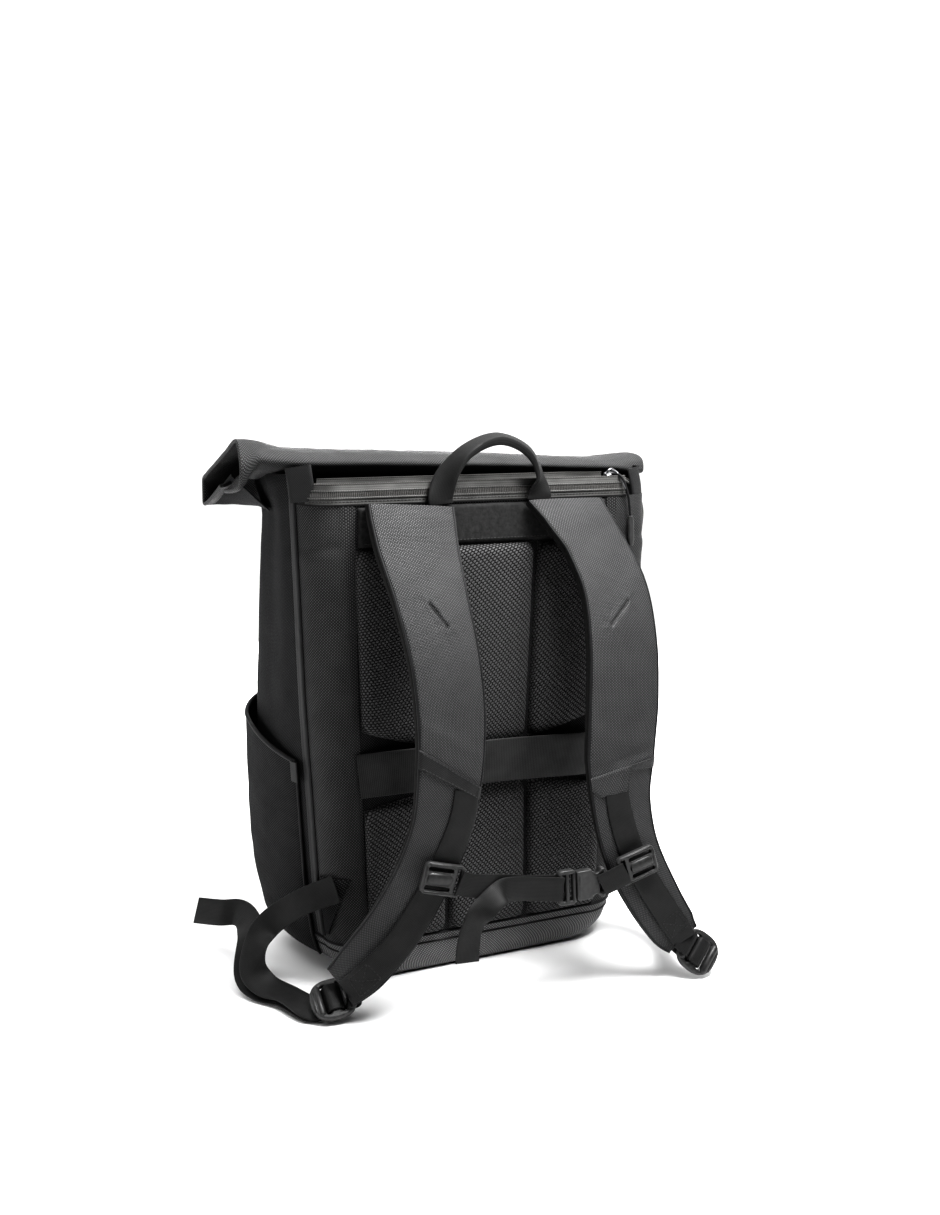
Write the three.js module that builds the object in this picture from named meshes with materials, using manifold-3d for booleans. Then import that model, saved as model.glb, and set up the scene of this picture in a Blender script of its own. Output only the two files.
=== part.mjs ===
// A roll-top laptop backpack that stands on its base: sewn panels, pads, straps and buckles.
// Millimetres, +Z up. The origin is the middle of the base, on the surface it stands on.
// -Y is the harness side that lies against the wearer, +Y is the front, and -X is the wearer's left.
import * as THREE from "three";
import { mergeVertices } from "three/addons/utils/BufferGeometryUtils.js";
import Module from "manifold-3d";

const wasm = await Module();
wasm.setup();

// Driving sizes
const CLOTH = 2; // wall of coated cloth
const GAP = 0.4; // room left between pieces that are sewn together
const WEB = 25; // width of the strap webbing
const WEB_THICK = 1.8;
const REAR = -92; // harness face of the laptop compartment
const DIVIDER = -57; // wall between the laptop compartment and the main compartment
const REAR_ROUND = 34; // radius of the corners beside the harness face
const FRONT_ROUND = 42; // radius of the front corners
const SIDE_BULGE = 5; // how far a filled side stands out
const TRAY_TOP = 37; // seam between the base tray and the upright panels
const PANEL_TOP = 430; // top edge of the front panel
const SIDE_TOP = 456; // top edge of a side panel at its rear end
const LAPTOP_TOP = 440; // top edge of the laptop compartment
const SEAM = 0.004; // share of a wall stretch left free at each upright seam
const PAD_THICK = 10;
const ROLL_LEFT = -213; // ends of the rolled top
const ROLL_RIGHT = 200;

// Sections of the outer wall: half widths at the rear and at the front, front depth, crown of the front
const SECTIONS = [
  { z: 37, rearHalf: 150, frontHalf: 163, front: 84, crown: 4 },
  { z: 80, rearHalf: 155, frontHalf: 171, front: 88, crown: 7 },
  { z: 150, rearHalf: 159, frontHalf: 175, front: 90, crown: 9 },
  { z: 260, rearHalf: 165, frontHalf: 175, front: 90, crown: 9 },
  { z: 350, rearHalf: 168, frontHalf: 171, front: 88, crown: 7 },
  { z: 440, rearHalf: 171, frontHalf: 167, front: 85, crown: 4 },
];

// The base tray curves in below the seam: inset across and inset in depth at each height
const TRAY = [
  { z: 0, insetX: 40, insetY: 12 },
  { z: 3, insetX: 27, insetY: 6 },
  { z: 9, insetX: 16, insetY: 2.5 },
  { z: 19, insetX: 6, insetY: 0.8 },
  { z: 37, insetX: 0, insetY: 0 },
];

const COLOURS = {
  shell: { color: 0x2b2b2c, roughness: 0.85 },
  mesh: { color: 0x242425, roughness: 0.9 },
  webbing: { color: 0x2f2f30, roughness: 0.75 },
  plastic: { color: 0x333335, roughness: 0.45 },
  zip: { color: 0x4a4846, roughness: 0.6 },
  metal: { color: 0x6a6a6c, roughness: 0.35, metalness: 0.8 },
};
const MATERIALS = Object.fromEntries(
  Object.entries(COLOURS).map(([name, look]) => [name, new THREE.MeshStandardMaterial(look)]),
);

const backpack = new THREE.Group();

function add(name, geometry, material) {
  const mesh = new THREE.Mesh(geometry, MATERIALS[material]);
  mesh.name = name;
  backpack.add(mesh);
  return mesh;
}

// Small helpers for numbers and curves
const lerp = THREE.MathUtils.lerp;
const radians = THREE.MathUtils.degToRad;
const vec = (x, y, z) => new THREE.Vector3(x, y, z);
const steps = (count, from = 0, to = 1) =>
  Array.from({ length: count + 1 }, (_, i) => lerp(from, to, i / count));

// The value of one column of a table at a place along another column, on a smooth curve through its rows
function column(table, key, name, at) {
  let i = table.findIndex((row) => row[key] > at);
  if (i < 0) i = table.length - 1;
  i = Math.max(1, i);
  const [a, b] = [table[i - 1], table[i]];
  const before = table[i - 2] ?? a;
  const after = table[i + 1] ?? b;
  const t = THREE.MathUtils.clamp((at - a[key]) / (b[key] - a[key]), 0, 1);
  const span = b[key] - a[key];
  const slopeA = ((b[name] - before[name]) / (b[key] - before[key])) * span;
  const slopeB = ((after[name] - a[name]) / (after[key] - a[key])) * span;
  const [t2, t3] = [t * t, t * t * t];
  return (
    (2 * t3 - 3 * t2 + 1) * a[name] +
    (t3 - 2 * t2 + t) * slopeA +
    (3 * t2 - 2 * t3) * b[name] +
    (t3 - t2) * slopeB
  );
}

// A closed geometry from points and triangles, with its faces turned outwards
function solid(points, triangles) {
  const geometry = new THREE.BufferGeometry();
  const numbers = points.flatMap((p) => [p.x, p.y, p.z]);
  geometry.setAttribute("position", new THREE.Float32BufferAttribute(numbers, 3));
  const volume = triangles.reduce((sum, [a, b, c]) => {
    return sum + points[a].dot(points[b].clone().cross(points[c]));
  }, 0);
  const turned = volume < 0 ? triangles.map(([a, b, c]) => [a, c, b]) : triangles;
  geometry.setIndex(turned.flat());
  return geometry;
}

// A sheet with thickness, from two grids of points with the same rows. A ring's rows close on themselves.
function sheet(outer, inner, ring = false) {
  const [rows, cols] = [outer.length, outer[0].length];
  const points = [...outer.flat(), ...inner.flat()];
  const at = (side, r, c) => side * rows * cols + r * cols + (c % cols);
  const triangles = [];
  const quad = (a, b, c, d) => triangles.push([a, b, c], [a, c, d]);
  const lastCol = ring ? cols : cols - 1;
  for (let r = 0; r < rows - 1; r++) {
    for (let c = 0; c < lastCol; c++) {
      quad(at(0, r, c), at(0, r, c + 1), at(0, r + 1, c + 1), at(0, r + 1, c));
      quad(at(1, r, c), at(1, r + 1, c), at(1, r + 1, c + 1), at(1, r, c + 1));
    }
    if (!ring) {
      quad(at(0, r, 0), at(0, r + 1, 0), at(1, r + 1, 0), at(1, r, 0));
      quad(at(0, r, cols - 1), at(1, r, cols - 1), at(1, r + 1, cols - 1), at(0, r + 1, cols - 1));
    }
  }
  for (let c = 0; c < lastCol; c++) {
    quad(at(0, 0, c), at(1, 0, c), at(1, 0, c + 1), at(0, 0, c + 1));
    const r = rows - 1;
    quad(at(0, r, c), at(0, r, c + 1), at(1, r, c + 1), at(1, r, c));
  }
  return solid(points, triangles);
}

// A body lofted through rings of points, with each end closed by a fan about its middle
function loft(rings) {
  const count = rings[0].length;
  const points = rings.flat();
  const triangles = [];
  for (let r = 0; r < rings.length - 1; r++) {
    for (let c = 0; c < count; c++) {
      const next = (c + 1) % count;
      const [a, b, d, e] = [r * count + c, r * count + next, (r + 1) * count + next, (r + 1) * count + c];
      triangles.push([a, b, d], [a, d, e]);
    }
  }
  const close = (ring, first, flip) => {
    const middle = ring.reduce((sum, p) => sum.add(p), vec(0, 0, 0)).divideScalar(count);
    points.push(middle);
    for (let c = 0; c < count; c++) {
      const edge = [first + c, first + ((c + 1) % count)];
      triangles.push(flip ? [edge[1], edge[0], points.length - 1] : [...edge, points.length - 1]);
    }
  };
  close(rings[0], 0, true);
  close(rings[rings.length - 1], (rings.length - 1) * count, false);
  return solid(points, triangles);
}

// Cross-sections as shares of half the width and half the thickness
const FLAT = [[-1, -1], [1, -1], [1, 1], [-1, 1]];
const PADDED = [
  [-1, -0.35], [-0.88, -1], [0, -1], [0.88, -1], [1, -0.35],
  [1, 0.35], [0.86, 0.85], [0, 1], [-0.86, 0.85], [-1, 0.35],
];

// Frames along a smooth curve through the rows of a table: place, direction across and face direction.
// A row gives a place and the way its face looks.
function framesAlong(rows, count) {
  const smooth = (points) => new THREE.CatmullRomCurve3(points, false, "centripetal");
  const curve = smooth(rows.map((row) => vec(...row.at)));
  const looks = smooth(rows.map((row) => vec(...row.face).normalize()));
  return steps(count).map((t) => {
    const along = curve.getTangent(t);
    const across = along.clone().cross(looks.getPoint(t)).normalize();
    const face = across.clone().cross(along).normalize();
    const place = t * (rows.length - 1);
    const i = Math.min(Math.floor(place), rows.length - 2);
    const size = (name, value) =>
      name in rows[i] ? lerp(rows[i][name], rows[i + 1][name], place - i) : value;
    return { at: curve.getPoint(t), along, across, face, size };
  });
}

// A strap along the rows of a table, flat or padded, with the width and thickness of its rows
function strap(rows, count, { width = WEB, thick = WEB_THICK, profile = FLAT } = {}) {
  const rings = framesAlong(rows, count).map(({ at, across, face, size }) =>
    profile.map(([s, h]) =>
      at
        .clone()
        .addScaledVector(across, (s * size("width", width)) / 2)
        .addScaledVector(face, (h * size("thick", thick)) / 2),
    ),
  );
  return loft(rings);
}

// Cuts of closed geometries
function manifold(geometry) {
  const bare = geometry.index ? geometry.toNonIndexed() : geometry.clone();
  const clean = mergeVertices(
    new THREE.BufferGeometry().setAttribute("position", bare.getAttribute("position")), 1e-4);
  const mesh = new wasm.Mesh({
    numProp: 3,
    vertProperties: clean.attributes.position.array,
    triVerts: new Uint32Array(clean.index.array),
  });
  return new wasm.Manifold(mesh);
}

function fromManifold(body) {
  const mesh = body.getMesh();
  const geometry = new THREE.BufferGeometry();
  geometry.setAttribute("position", new THREE.Float32BufferAttribute(mesh.vertProperties, mesh.numProp));
  geometry.setIndex([...mesh.triVerts]);
  return geometry;
}

const cut = (whole, ...parts) =>
  fromManifold(parts.map(manifold).reduce((left, part) => left.subtract(part), manifold(whole)));

// The outer wall. Places round it count from the middle of the harness face through the wearer's left:
// 0 to 1 harness face, 1 to 2 rear corner, 2 to 3 side, 3 to 4 front corner, 4 to 5 front panel,
// and from 5 back to 10 the same stretches on the other side.
const ROUND = 10;

function wallPoint(z, place, inset = 0) {
  const s = ((place % ROUND) + ROUND) % ROUND;
  const u = s <= ROUND / 2 ? s : ROUND - s;
  const sign = s <= ROUND / 2 ? -1 : 1;
  const high = Math.max(z, TRAY_TOP);
  const section = (name) => column(SECTIONS, "z", name, high);
  const trim = (name) => (z < TRAY_TOP ? column(TRAY, "z", name, Math.max(z, 0)) : 0);
  const rearHalf = section("rearHalf") - trim("insetX") - inset;
  const frontHalf = section("frontHalf") - trim("insetX") - inset;
  const rear = REAR + trim("insetY") + inset;
  const front = section("front") - trim("insetY") - inset;
  const rearRound = REAR_ROUND - inset;
  const frontRound = FRONT_ROUND - inset;
  let [x, y] = [0, 0];
  if (u <= 1) {
    [x, y] = [u * (rearHalf - rearRound), rear];
  } else if (u <= 2) {
    const a = ((u - 1) * Math.PI) / 2;
    [x, y] = [rearHalf - rearRound + rearRound * Math.sin(a), rear + rearRound - rearRound * Math.cos(a)];
  } else if (u <= 3) {
    const t = u - 2;
    x = lerp(rearHalf, frontHalf, t) + SIDE_BULGE * Math.sin(Math.PI * t);
    y = lerp(rear + rearRound, front - frontRound, t);
  } else if (u <= 4) {
    const a = ((u - 3) * Math.PI) / 2;
    x = frontHalf - frontRound + frontRound * Math.cos(a);
    y = front - frontRound + frontRound * Math.sin(a);
  } else {
    const t = u - 4;
    [x, y] = [(frontHalf - frontRound) * (1 - t), front + section("crown") * Math.sin((t * Math.PI) / 2)];
  }
  return vec(sign * x, y, z);
}

// Top edge of the side and front panels: highest where a side panel meets the laptop compartment
function panelTop(place) {
  const u = place <= ROUND / 2 ? place : ROUND - place;
  return lerp(SIDE_TOP, PANEL_TOP, THREE.MathUtils.smoothstep(u, 2, 3.2));
}

// A panel of the wall between two places, from a height up to a top edge
function wallPanel(from, to, across, low, high, up, thick = CLOTH) {
  const top = typeof high === "function" ? high : () => high;
  const grid = (inset) =>
    steps(up).map((t) => steps(across, from, to).map((s) => wallPoint(lerp(low, top(s), t), s, inset)));
  return sheet(grid(0), grid(thick));
}

const FRONT_SEAM = 3.3; // where the side panel meets the front panel
add("back_panel", wallPanel(-1 + SEAM, 1 - SEAM, 2, TRAY_TOP + GAP, LAPTOP_TOP, 6, 4), "shell");
add("gusset_left", wallPanel(1 + SEAM, 2 - SEAM, 6, TRAY_TOP + GAP, LAPTOP_TOP, 8), "shell");
add("gusset_right", wallPanel(8 + SEAM, 9 - SEAM, 6, TRAY_TOP + GAP, LAPTOP_TOP, 8), "shell");
add("side_panel_left", wallPanel(2 + SEAM, FRONT_SEAM - SEAM, 8, TRAY_TOP + GAP, panelTop, 8), "shell");
const RIGHT_PLACES = [ROUND - FRONT_SEAM + SEAM, 8 - SEAM];
add("side_panel_right", wallPanel(...RIGHT_PLACES, 8, TRAY_TOP + GAP, panelTop, 8), "shell");
const FRONT_PLACES = [FRONT_SEAM + SEAM, ROUND - FRONT_SEAM - SEAM];
add("front_panel", wallPanel(...FRONT_PLACES, 14, TRAY_TOP + GAP, panelTop, 8), "shell");

// The base tray: a floor with a rim that curves up to the seam
const TRAY_FLOOR = 2.5;
function baseTray() {
  const around = 36;
  const ring = (z, inset) => steps(around, 0, ROUND).slice(0, -1).map((s) => wallPoint(z, s, inset));
  const outer = TRAY.map((row) => ring(row.z, 0));
  const inner = TRAY.filter((row) => row.z > TRAY_FLOOR).map((row) => ring(row.z, CLOTH));
  return loft([...outer, ...inner.reverse()]);
}
add("base_tray", baseTray(), "shell");

// The divider between the two compartments, held between the side seams
function divider() {
  const top = 456;
  const face = (y) =>
    [...TRAY.slice(1).map((row) => row.z + 2), ...steps(5, 90, top)].map((z) => {
      const half = -wallPoint(Math.min(z, LAPTOP_TOP) - 2, 2, CLOTH + 0.8).x;
      return steps(4, -half, half).map((x) => vec(x, y, z));
    });
  return sheet(face(DIVIDER - CLOTH / 2), face(DIVIDER + CLOTH / 2));
}
add("divider", divider(), "shell");

// The collar closes the main compartment down to a slit under the roll
const SLIT = { half: 166, y: 21, wide: 9, z: 451 };
const COLLAR = [
  { share: 0, rise: 0 }, { share: 0.08, rise: 0.45 }, { share: 0.3, rise: 0.75 },
  { share: 0.7, rise: 0.92 }, { share: 1, rise: 1 },
];
function collar() {
  const rearLine = DIVIDER + CLOTH / 2 + GAP;
  const edge = steps(30, 2, 8).map((s) => wallPoint(panelTop(s) + GAP, s));
  const end = edge[edge.length - 1];
  const rear = steps(8, 1, -1).slice(1, -1).map((t) => vec(t * end.x, rearLine, end.z));
  const outline = [...edge.map((p) => p.setY(Math.max(p.y, rearLine))), ...rear];
  const deepest = Math.max(...outline.map((p) => p.y));
  const widest = Math.max(...outline.map((p) => p.x));
  const lip = (p) => {
    const t = THREE.MathUtils.clamp((2 * (p.y - rearLine)) / (deepest - rearLine) - 1, -0.5, 0.5);
    return vec((p.x * SLIT.half) / widest, SLIT.y + t * SLIT.wide, SLIT.z);
  };
  const rows = (inset) =>
    COLLAR.map(({ share, rise }) =>
      outline.map((p) => {
        const start = vec(p.x * (1 - inset / widest), lerp(p.y, SLIT.y, inset / 80), 0);
        const z = lerp(p.z, SLIT.z, rise) - (share > 0 ? inset * 0.8 : 0);
        return start.lerp(lip(p), share).setZ(z);
      }),
    );
  return sheet(rows(0), rows(CLOTH), true);
}
add("collar", collar(), "shell");

// The rolled top: a double layer of cloth that leaves the slit, folds back over the rear edge,
// lies forward over the top and hangs down in front with its hem turned in
const ROLL_THICK = 3;
const ROLL_PATH = [
  { y: 21, z: 456.5 }, { y: -10, z: 459 }, { y: -36, z: 461.5 }, { y: -49, z: 468 },
  { y: -42, z: 476 }, { y: -22, z: 480 }, { y: 12, z: 479 }, { y: 52, z: 474 },
  { y: 80, z: 466 }, { y: 92, z: 452 }, { y: 94.5, z: 438 }, { y: 91.5, z: 432 },
  { y: 88, z: 437 }, { y: 84, z: 450 }, { y: 70, z: 460 }, { y: 44, z: 466 },
];
const ROLL_LIFT = [
  { x: -213, lift: 14 }, { x: -165, lift: 6 }, { x: -80, lift: 3 },
  { x: 40, lift: -2 }, { x: 150, lift: -7 }, { x: 200, lift: -6 },
];
const ROLL_FLAT = 432; // no lift at the hem, full lift at the ridge
const ROLL_RIDGE = 480;
function rollTop() {
  const path = new THREE.CatmullRomCurve3(ROLL_PATH.map(({ y, z }) => vec(0, y, z)), false, "centripetal");
  const samples = steps(30).map((t) => {
    const along = path.getTangent(t);
    return { at: path.getPoint(t), normal: vec(0, -along.z, along.y) };
  });
  const face = (offset) =>
    steps(8, ROLL_LEFT, ROLL_RIGHT).map((x) => {
      const lift = column(ROLL_LIFT, "x", "lift", x);
      return samples.map(({ at, normal }) => {
        const p = at.clone().addScaledVector(normal, offset);
        const share = (at.z - ROLL_FLAT) / (ROLL_RIDGE - ROLL_FLAT);
        return vec(x, p.y, p.z + lift * Math.max(0, share) ** 1.5);
      });
    });
  return sheet(face(ROLL_THICK / 2), face(-ROLL_THICK / 2));
}
add("roll_top", rollTop(), "shell");

// The ears: the corner folds of the collar that reach from the side panels to the ends of the roll
function ear(sign) {
  const root = [2.35, 2.7, 3].map((s) => wallPoint(PANEL_TOP, s, -1.5));
  const tip = [vec(-184, -6, 0), vec(-200, 38, 0), vec(-211, 82, 0)];
  const face = (z) =>
    [0, 0.5, 1].map((t) => root.map((p, i) => {
      const q = p.clone().lerp(tip[i], t);
      return vec(-sign * q.x, q.y, z + 2 * Math.sin(Math.PI * t));
    }));
  return sheet(face(428), face(428 - CLOTH));
}
add("ear_left", ear(-1), "shell");
add("ear_right", ear(1), "shell");

// The harness face: yoke, six mesh pads, trolley band
const FACE = REAR - GAP; // what lies on the back panel starts here
const YOKE = { low: 403, high: 438, half: 124, thick: 3 };
function block(low, high) {
  const size = high.clone().sub(low);
  return new THREE.BoxGeometry(size.x, size.y, size.z).translate(...low.clone().lerp(high, 0.5).toArray());
}
add("yoke", block(vec(-YOKE.half, FACE - YOKE.thick, YOKE.low), vec(YOKE.half, FACE, YOKE.high)), "shell");

const PAD = { half: 126, groove: 5, bevel: 6, top: 401, bottom: 40 };
const padSide = (z) => lerp(118, 128, (z - 40) / 360); // outer edge of the pads, wider at the top
const upperEdge = (x) => 214 + 25 * (x / PAD.half) ** 2; // lower edge of the upper row
const lowerEdge = (x) => 178 - 14 * (x / PAD.half) ** 2; // upper edge of the lower row
const columnLine = (z) => lerp(41, 50, THREE.MathUtils.clamp((z - 214) / 187, 0, 1));

// A cushion with bevelled edges over an outline given as points round it
function cushion(outline) {
  const inset = (distance) =>
    outline.map((p, i) => {
      const before = outline[(i + outline.length - 1) % outline.length];
      const after = outline[(i + 1) % outline.length];
      const along = after.clone().sub(before).normalize();
      return vec(p.x - along.z * distance, 0, p.z + along.x * distance);
    });
  const ring = (points, y) => points.map((p) => vec(p.x, y, p.z));
  return loft([
    ring(outline, FACE),
    ring(outline, FACE - 0.45 * PAD_THICK),
    ring(inset(0.5 * PAD.bevel), FACE - 0.85 * PAD_THICK),
    ring(inset(1.6 * PAD.bevel), FACE - PAD_THICK),
  ]);
}

function padOutline(left, right, bottom, top) {
  const round = 0.06;
  const xs = steps(4, round, 1 - round);
  const lower = xs.map((t) => {
    const x = lerp(left(bottom(0)), right(bottom(0)), t);
    return vec(x, 0, bottom(x));
  });
  const upper = xs.map((t) => {
    const x = lerp(left(top(0)), right(top(0)), t);
    return vec(x, 0, top(x));
  });
  const upright = (side, from, to) =>
    steps(2, round, 1 - round).map((t) => {
      const z = lerp(from, to, t);
      return vec(side(z), 0, z);
    });
  const [l0, l1] = [left(bottom(0)), left(top(0))];
  const [r0, r1] = [right(bottom(0)), right(top(0))];
  return [
    ...lower,
    ...upright(right, bottom(r0), top(r1)),
    ...upper.reverse(),
    ...upright(left, top(l1), bottom(l0)),
  ];
}

const half = PAD.groove / 2;
const padColumns = {
  left: [(z) => -padSide(z), (z) => -columnLine(z) - half],
  center: [(z) => -columnLine(z) + half, (z) => columnLine(z) - half],
  right: [(z) => columnLine(z) + half, padSide],
};
for (const [name, [left, right]] of Object.entries(padColumns)) {
  add("pad_upper_" + name, cushion(padOutline(left, right, upperEdge, () => PAD.top)), "mesh");
  add("pad_lower_" + name, cushion(padOutline(left, right, () => PAD.bottom, lowerEdge)), "mesh");
}

const TROLLEY = [
  { at: [-127, -93.8, 198], face: [-0.2, -1, 0] },
  { at: [-96, -104, 201], face: [-0.2, -1, 0] },
  { at: [-50, -109.5, 202], face: [0, -1, 0] },
  { at: [0, -110, 202], face: [0, -1, 0] },
  { at: [50, -109.5, 200], face: [0, -1, 0] },
  { at: [96, -104, 196], face: [0.2, -1, 0] },
  { at: [127, -93.8, 193], face: [0.2, -1, 0] },
];
add("trolley_band", strap(TROLLEY, 14, { width: 41, thick: 2 }), "webbing");

// The grab handle: flat webbing at its feet, folded double where the hand holds it
const HANDLE = [
  { at: [-47, -97, 439], face: [0, -1, 0], width: 24, thick: 2.4 },
  { at: [-47.5, -97.2, 445], face: [0, -1, 0.1], width: 24, thick: 2.4 },
  { at: [-42, -99, 464], face: [-0.55, -0.8, 0.2], width: 21, thick: 4 },
  { at: [-24, -101, 485], face: [-0.75, -0.45, 0.5], width: 16, thick: 7 },
  { at: [8, -101, 496], face: [0, -0.3, 1], width: 14, thick: 9 },
  { at: [38, -101, 484], face: [0.75, -0.45, 0.5], width: 16, thick: 7 },
  { at: [51, -99, 463], face: [0.75, -0.6, 0.2], width: 21, thick: 4 },
  { at: [52, -97.2, 445], face: [0, -1, 0.1], width: 24, thick: 2.4 },
  { at: [51, -97, 439], face: [0, -1, 0], width: 24, thick: 2.4 },
];
add("grab_handle", strap(HANDLE, 40), "webbing");

// The laptop zip: a tape along each lip of the mouth, a closed run down the right side
const ZIP_TOP = 459;
function lipTape(points, low, high, thick, lean) {
  const face = (offset) =>
    steps(1, low, high).map((z) =>
      points.map((p) => {
        const inward = vec(p.x > 100 || p.x < -100 ? -Math.sign(p.x) * 0.5 : 0, 1, 0);
        return vec(p.x, p.y, z).addScaledVector(inward, offset + (lean * (z - low)) / (high - low));
      }));
  return sheet(face(0), face(thick));
}
const rearLip = steps(18, 1.5, -1.25).map((s) => wallPoint(LAPTOP_TOP, s, 0.4));
add("zip_tape_rear", lipTape(rearLip, LAPTOP_TOP + GAP, ZIP_TOP, 1.6, 2), "zip");
const frontLip = steps(8, -150, 126).map((x) => vec(x, DIVIDER - 3, 0));
add("zip_tape_front", lipTape(frontLip, 446, 462, 1.4, 0), "zip");

const onRightSeam = (z) => wallPoint(z, 8, -2.3).toArray();
const ZIP_SIDE = [
  { at: [147, -75, 457.5], face: [0.2, -0.3, 1] },
  { at: [159, -72, 454], face: [0.5, -0.3, 0.8] },
  { at: [169.5, -66, 445], face: [0.9, -0.3, 0.4] },
  { at: [174.5, -60, 424], face: [1, -0.15, 0.1] },
  ...[385, 345, 305].map((z) => ({ at: onRightSeam(z), face: [1, -0.1, 0] })),
];
add("zip_side", strap(ZIP_SIDE, 20, { width: 13, thick: 2.2 }), "zip");
const ZIP_SLIDER = [
  { at: [134, -77, 458.5], face: [0, -0.3, 1], width: 7, thick: 4 },
  { at: [138, -76.4, 459], face: [0, -0.3, 1], width: 10, thick: 6 },
  { at: [146.4, -75, 458.3], face: [0.1, -0.3, 1], width: 8, thick: 5 },
];
add("zip_slider", strap(ZIP_SLIDER, 4), "metal");
const ROUND_CORD = steps(8).slice(0, -1).map((t) => [Math.cos(2 * Math.PI * t), Math.sin(2 * Math.PI * t)]);
const PULL_CORD = [
  { at: [138.5, -82.6, 460.5], face: [1, 0, 0] },
  { at: [142, -92, 459], face: [1, 0, 0] },
  { at: [149, -94.5, 441], face: [1, 0, 0] },
  { at: [153.5, -92, 421], face: [1, 0, 0] },
];
add("zip_pull_cord", strap(PULL_CORD, 10, { width: 2.4, thick: 2.4, profile: ROUND_CORD }), "webbing");
const PULL_TIP = [
  { at: [153.8, -91.8, 420.3], face: [0.4, -1, 0], width: 5, thick: 4 },
  { at: [154.3, -91.4, 414], face: [0.4, -1, 0], width: 7.5, thick: 5 },
  { at: [155.4, -90.6, 398], face: [0.4, -1, 0], width: 7.5, thick: 5 },
  { at: [155.8, -90.4, 392], face: [0.4, -1, 0], width: 4.5, thick: 3.5 },
];
add("zip_pull_tip", strap(PULL_TIP, 6, { profile: PADDED }), "plastic");

// Webbing tabs at the ends of the mouth
function endTab(sign) {
  const low = sign < 0 ? 440.6 : 455.2; // the right tab stands on the closed run of the zip
  const rows = [low, 460, 468, 474].map((z, i) => ({
    at: [sign * 167, -69 + 0.6 * i, z],
    face: [sign * 0.55, -0.84, 0],
    width: 18 - (i === 3 ? 3 : 0),
    thick: 3.6,
  }));
  return strap(rows, 3);
}
add("zip_tab_left", endTab(-1), "webbing");
add("zip_tab_right", endTab(1), "webbing");

// Bindings over the upright seams between gusset and side panel
function binding(place, low, high) {
  const grid = (offset) =>
    steps(8, low, high).map((z) => [-0.12, 0, 0.06].map((d) => wallPoint(z, place + d, -offset)));
  return sheet(grid(2.4), grid(0.5));
}
add("edge_binding_left", binding(2, 42, 438), "shell");
add("edge_binding_right", binding(8, 42, 294), "shell");

// Side pockets: a sheet that stands off the side panel and is open along its sloping top edge
const POCKET = { rear: 2.14, front: 3.95, low: 16, topRear: 205, topFront: 243, proud: 8 };
function sidePocket(sign) {
  const [across, up] = [10, 8];
  const place = (u) => (sign < 0 ? u : ROUND - u);
  const grid = (thick) =>
    steps(up).map((v) =>
      steps(across).map((t) => {
        const top = lerp(POCKET.topRear, POCKET.topFront, Math.min(1, t * 1.2));
        const z = lerp(POCKET.low, top, v);
        const fill = Math.sin(Math.PI * t) ** 0.6 * Math.min(1, v * 4) ** 0.5;
        const u = lerp(POCKET.rear, POCKET.front, t);
        return wallPoint(z, place(u), -(1.6 + POCKET.proud * fill + thick));
      }),
    );
  return sheet(grid(CLOTH), grid(0));
}
add("side_pocket_left", sidePocket(-1), "shell");
add("side_pocket_right", sidePocket(1), "shell");
function pocketTab(sign) {
  const place = sign < 0 ? POCKET.rear - 0.02 : ROUND - POCKET.rear + 0.02;
  const rows = [186, 205].map((z) => ({
    at: wallPoint(z, place, -6.2).toArray(),
    face: [sign, -0.2, 0],
  }));
  return strap(rows, 1, { width: 12, thick: 1.8 });
}
add("pocket_tab_left", pocketTab(-1), "webbing");
add("pocket_tab_right", pocketTab(1), "webbing");

// Shoulder straps: wide and padded down to a slanting hem, thinner below it, splayed out to the ladderlocks
const STRAP_LEFT = [
  { at: [-78, -100.8, 438], face: [0, -0.96, 0.25], width: 79, thick: 9 },
  { at: [-79, -108, 425], face: [0, -0.9, 0.42], width: 78, thick: 11 },
  { at: [-80, -121, 402], face: [0, -0.86, 0.5], width: 74, thick: 12 },
  { at: [-79, -146, 362], face: [0, -0.9, 0.42], width: 66, thick: 12 },
  { at: [-76, -168, 312], face: [0, -0.95, 0.25], width: 62, thick: 12 },
  { at: [-75, -178, 265], face: [0, -1, 0.1], width: 61, thick: 11 },
  { at: [-78, -182, 218], face: [0, -1, 0], width: 59, thick: 10 },
  { at: [-88, -180, 172], face: [-0.05, -1, -0.05], width: 53, thick: 8 },
  { at: [-106, -174, 126], face: [-0.1, -1, 0], width: 49, thick: 8 },
  { at: [-129, -163, 82], face: [-0.2, -1, 0.15], width: 46, thick: 8 },
  { at: [-143, -155, 48], face: [-0.3, -0.9, 0.35], width: 42, thick: 7 },
  { at: [-149.4, -146, 22.9], face: [-0.35, -0.75, 0.5], width: 34, thick: 6 },
];
const STRAP_RIGHT = [
  { at: [74, -100.8, 438], face: [0, -0.96, 0.25], width: 76, thick: 9 },
  { at: [75, -108, 425], face: [0, -0.9, 0.42], width: 75, thick: 11 },
  { at: [84, -121, 402], face: [0, -0.86, 0.5], width: 71, thick: 12 },
  { at: [97, -146, 362], face: [0, -0.9, 0.42], width: 68, thick: 12 },
  { at: [98, -168, 312], face: [0, -0.95, 0.25], width: 69, thick: 12 },
  { at: [95, -178, 262], face: [0, -1, 0.1], width: 70, thick: 11 },
  { at: [90, -183, 212], face: [0, -1, 0], width: 67, thick: 10 },
  { at: [90, -186, 172], face: [0.05, -1, -0.05], width: 59, thick: 8 },
  { at: [99, -190, 127], face: [0.05, -1, 0], width: 54, thick: 8 },
  { at: [121, -195, 80], face: [-0.05, -1, 0.1], width: 49, thick: 8 },
  { at: [141, -199, 48], face: [-0.2, -1, 0.15], width: 43, thick: 7 },
  { at: [149.6, -201.3, 36.9], face: [-0.27, -0.95, 0.2], width: 34, thick: 5 },
];
const STRAP_STEPS = 30;
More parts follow.
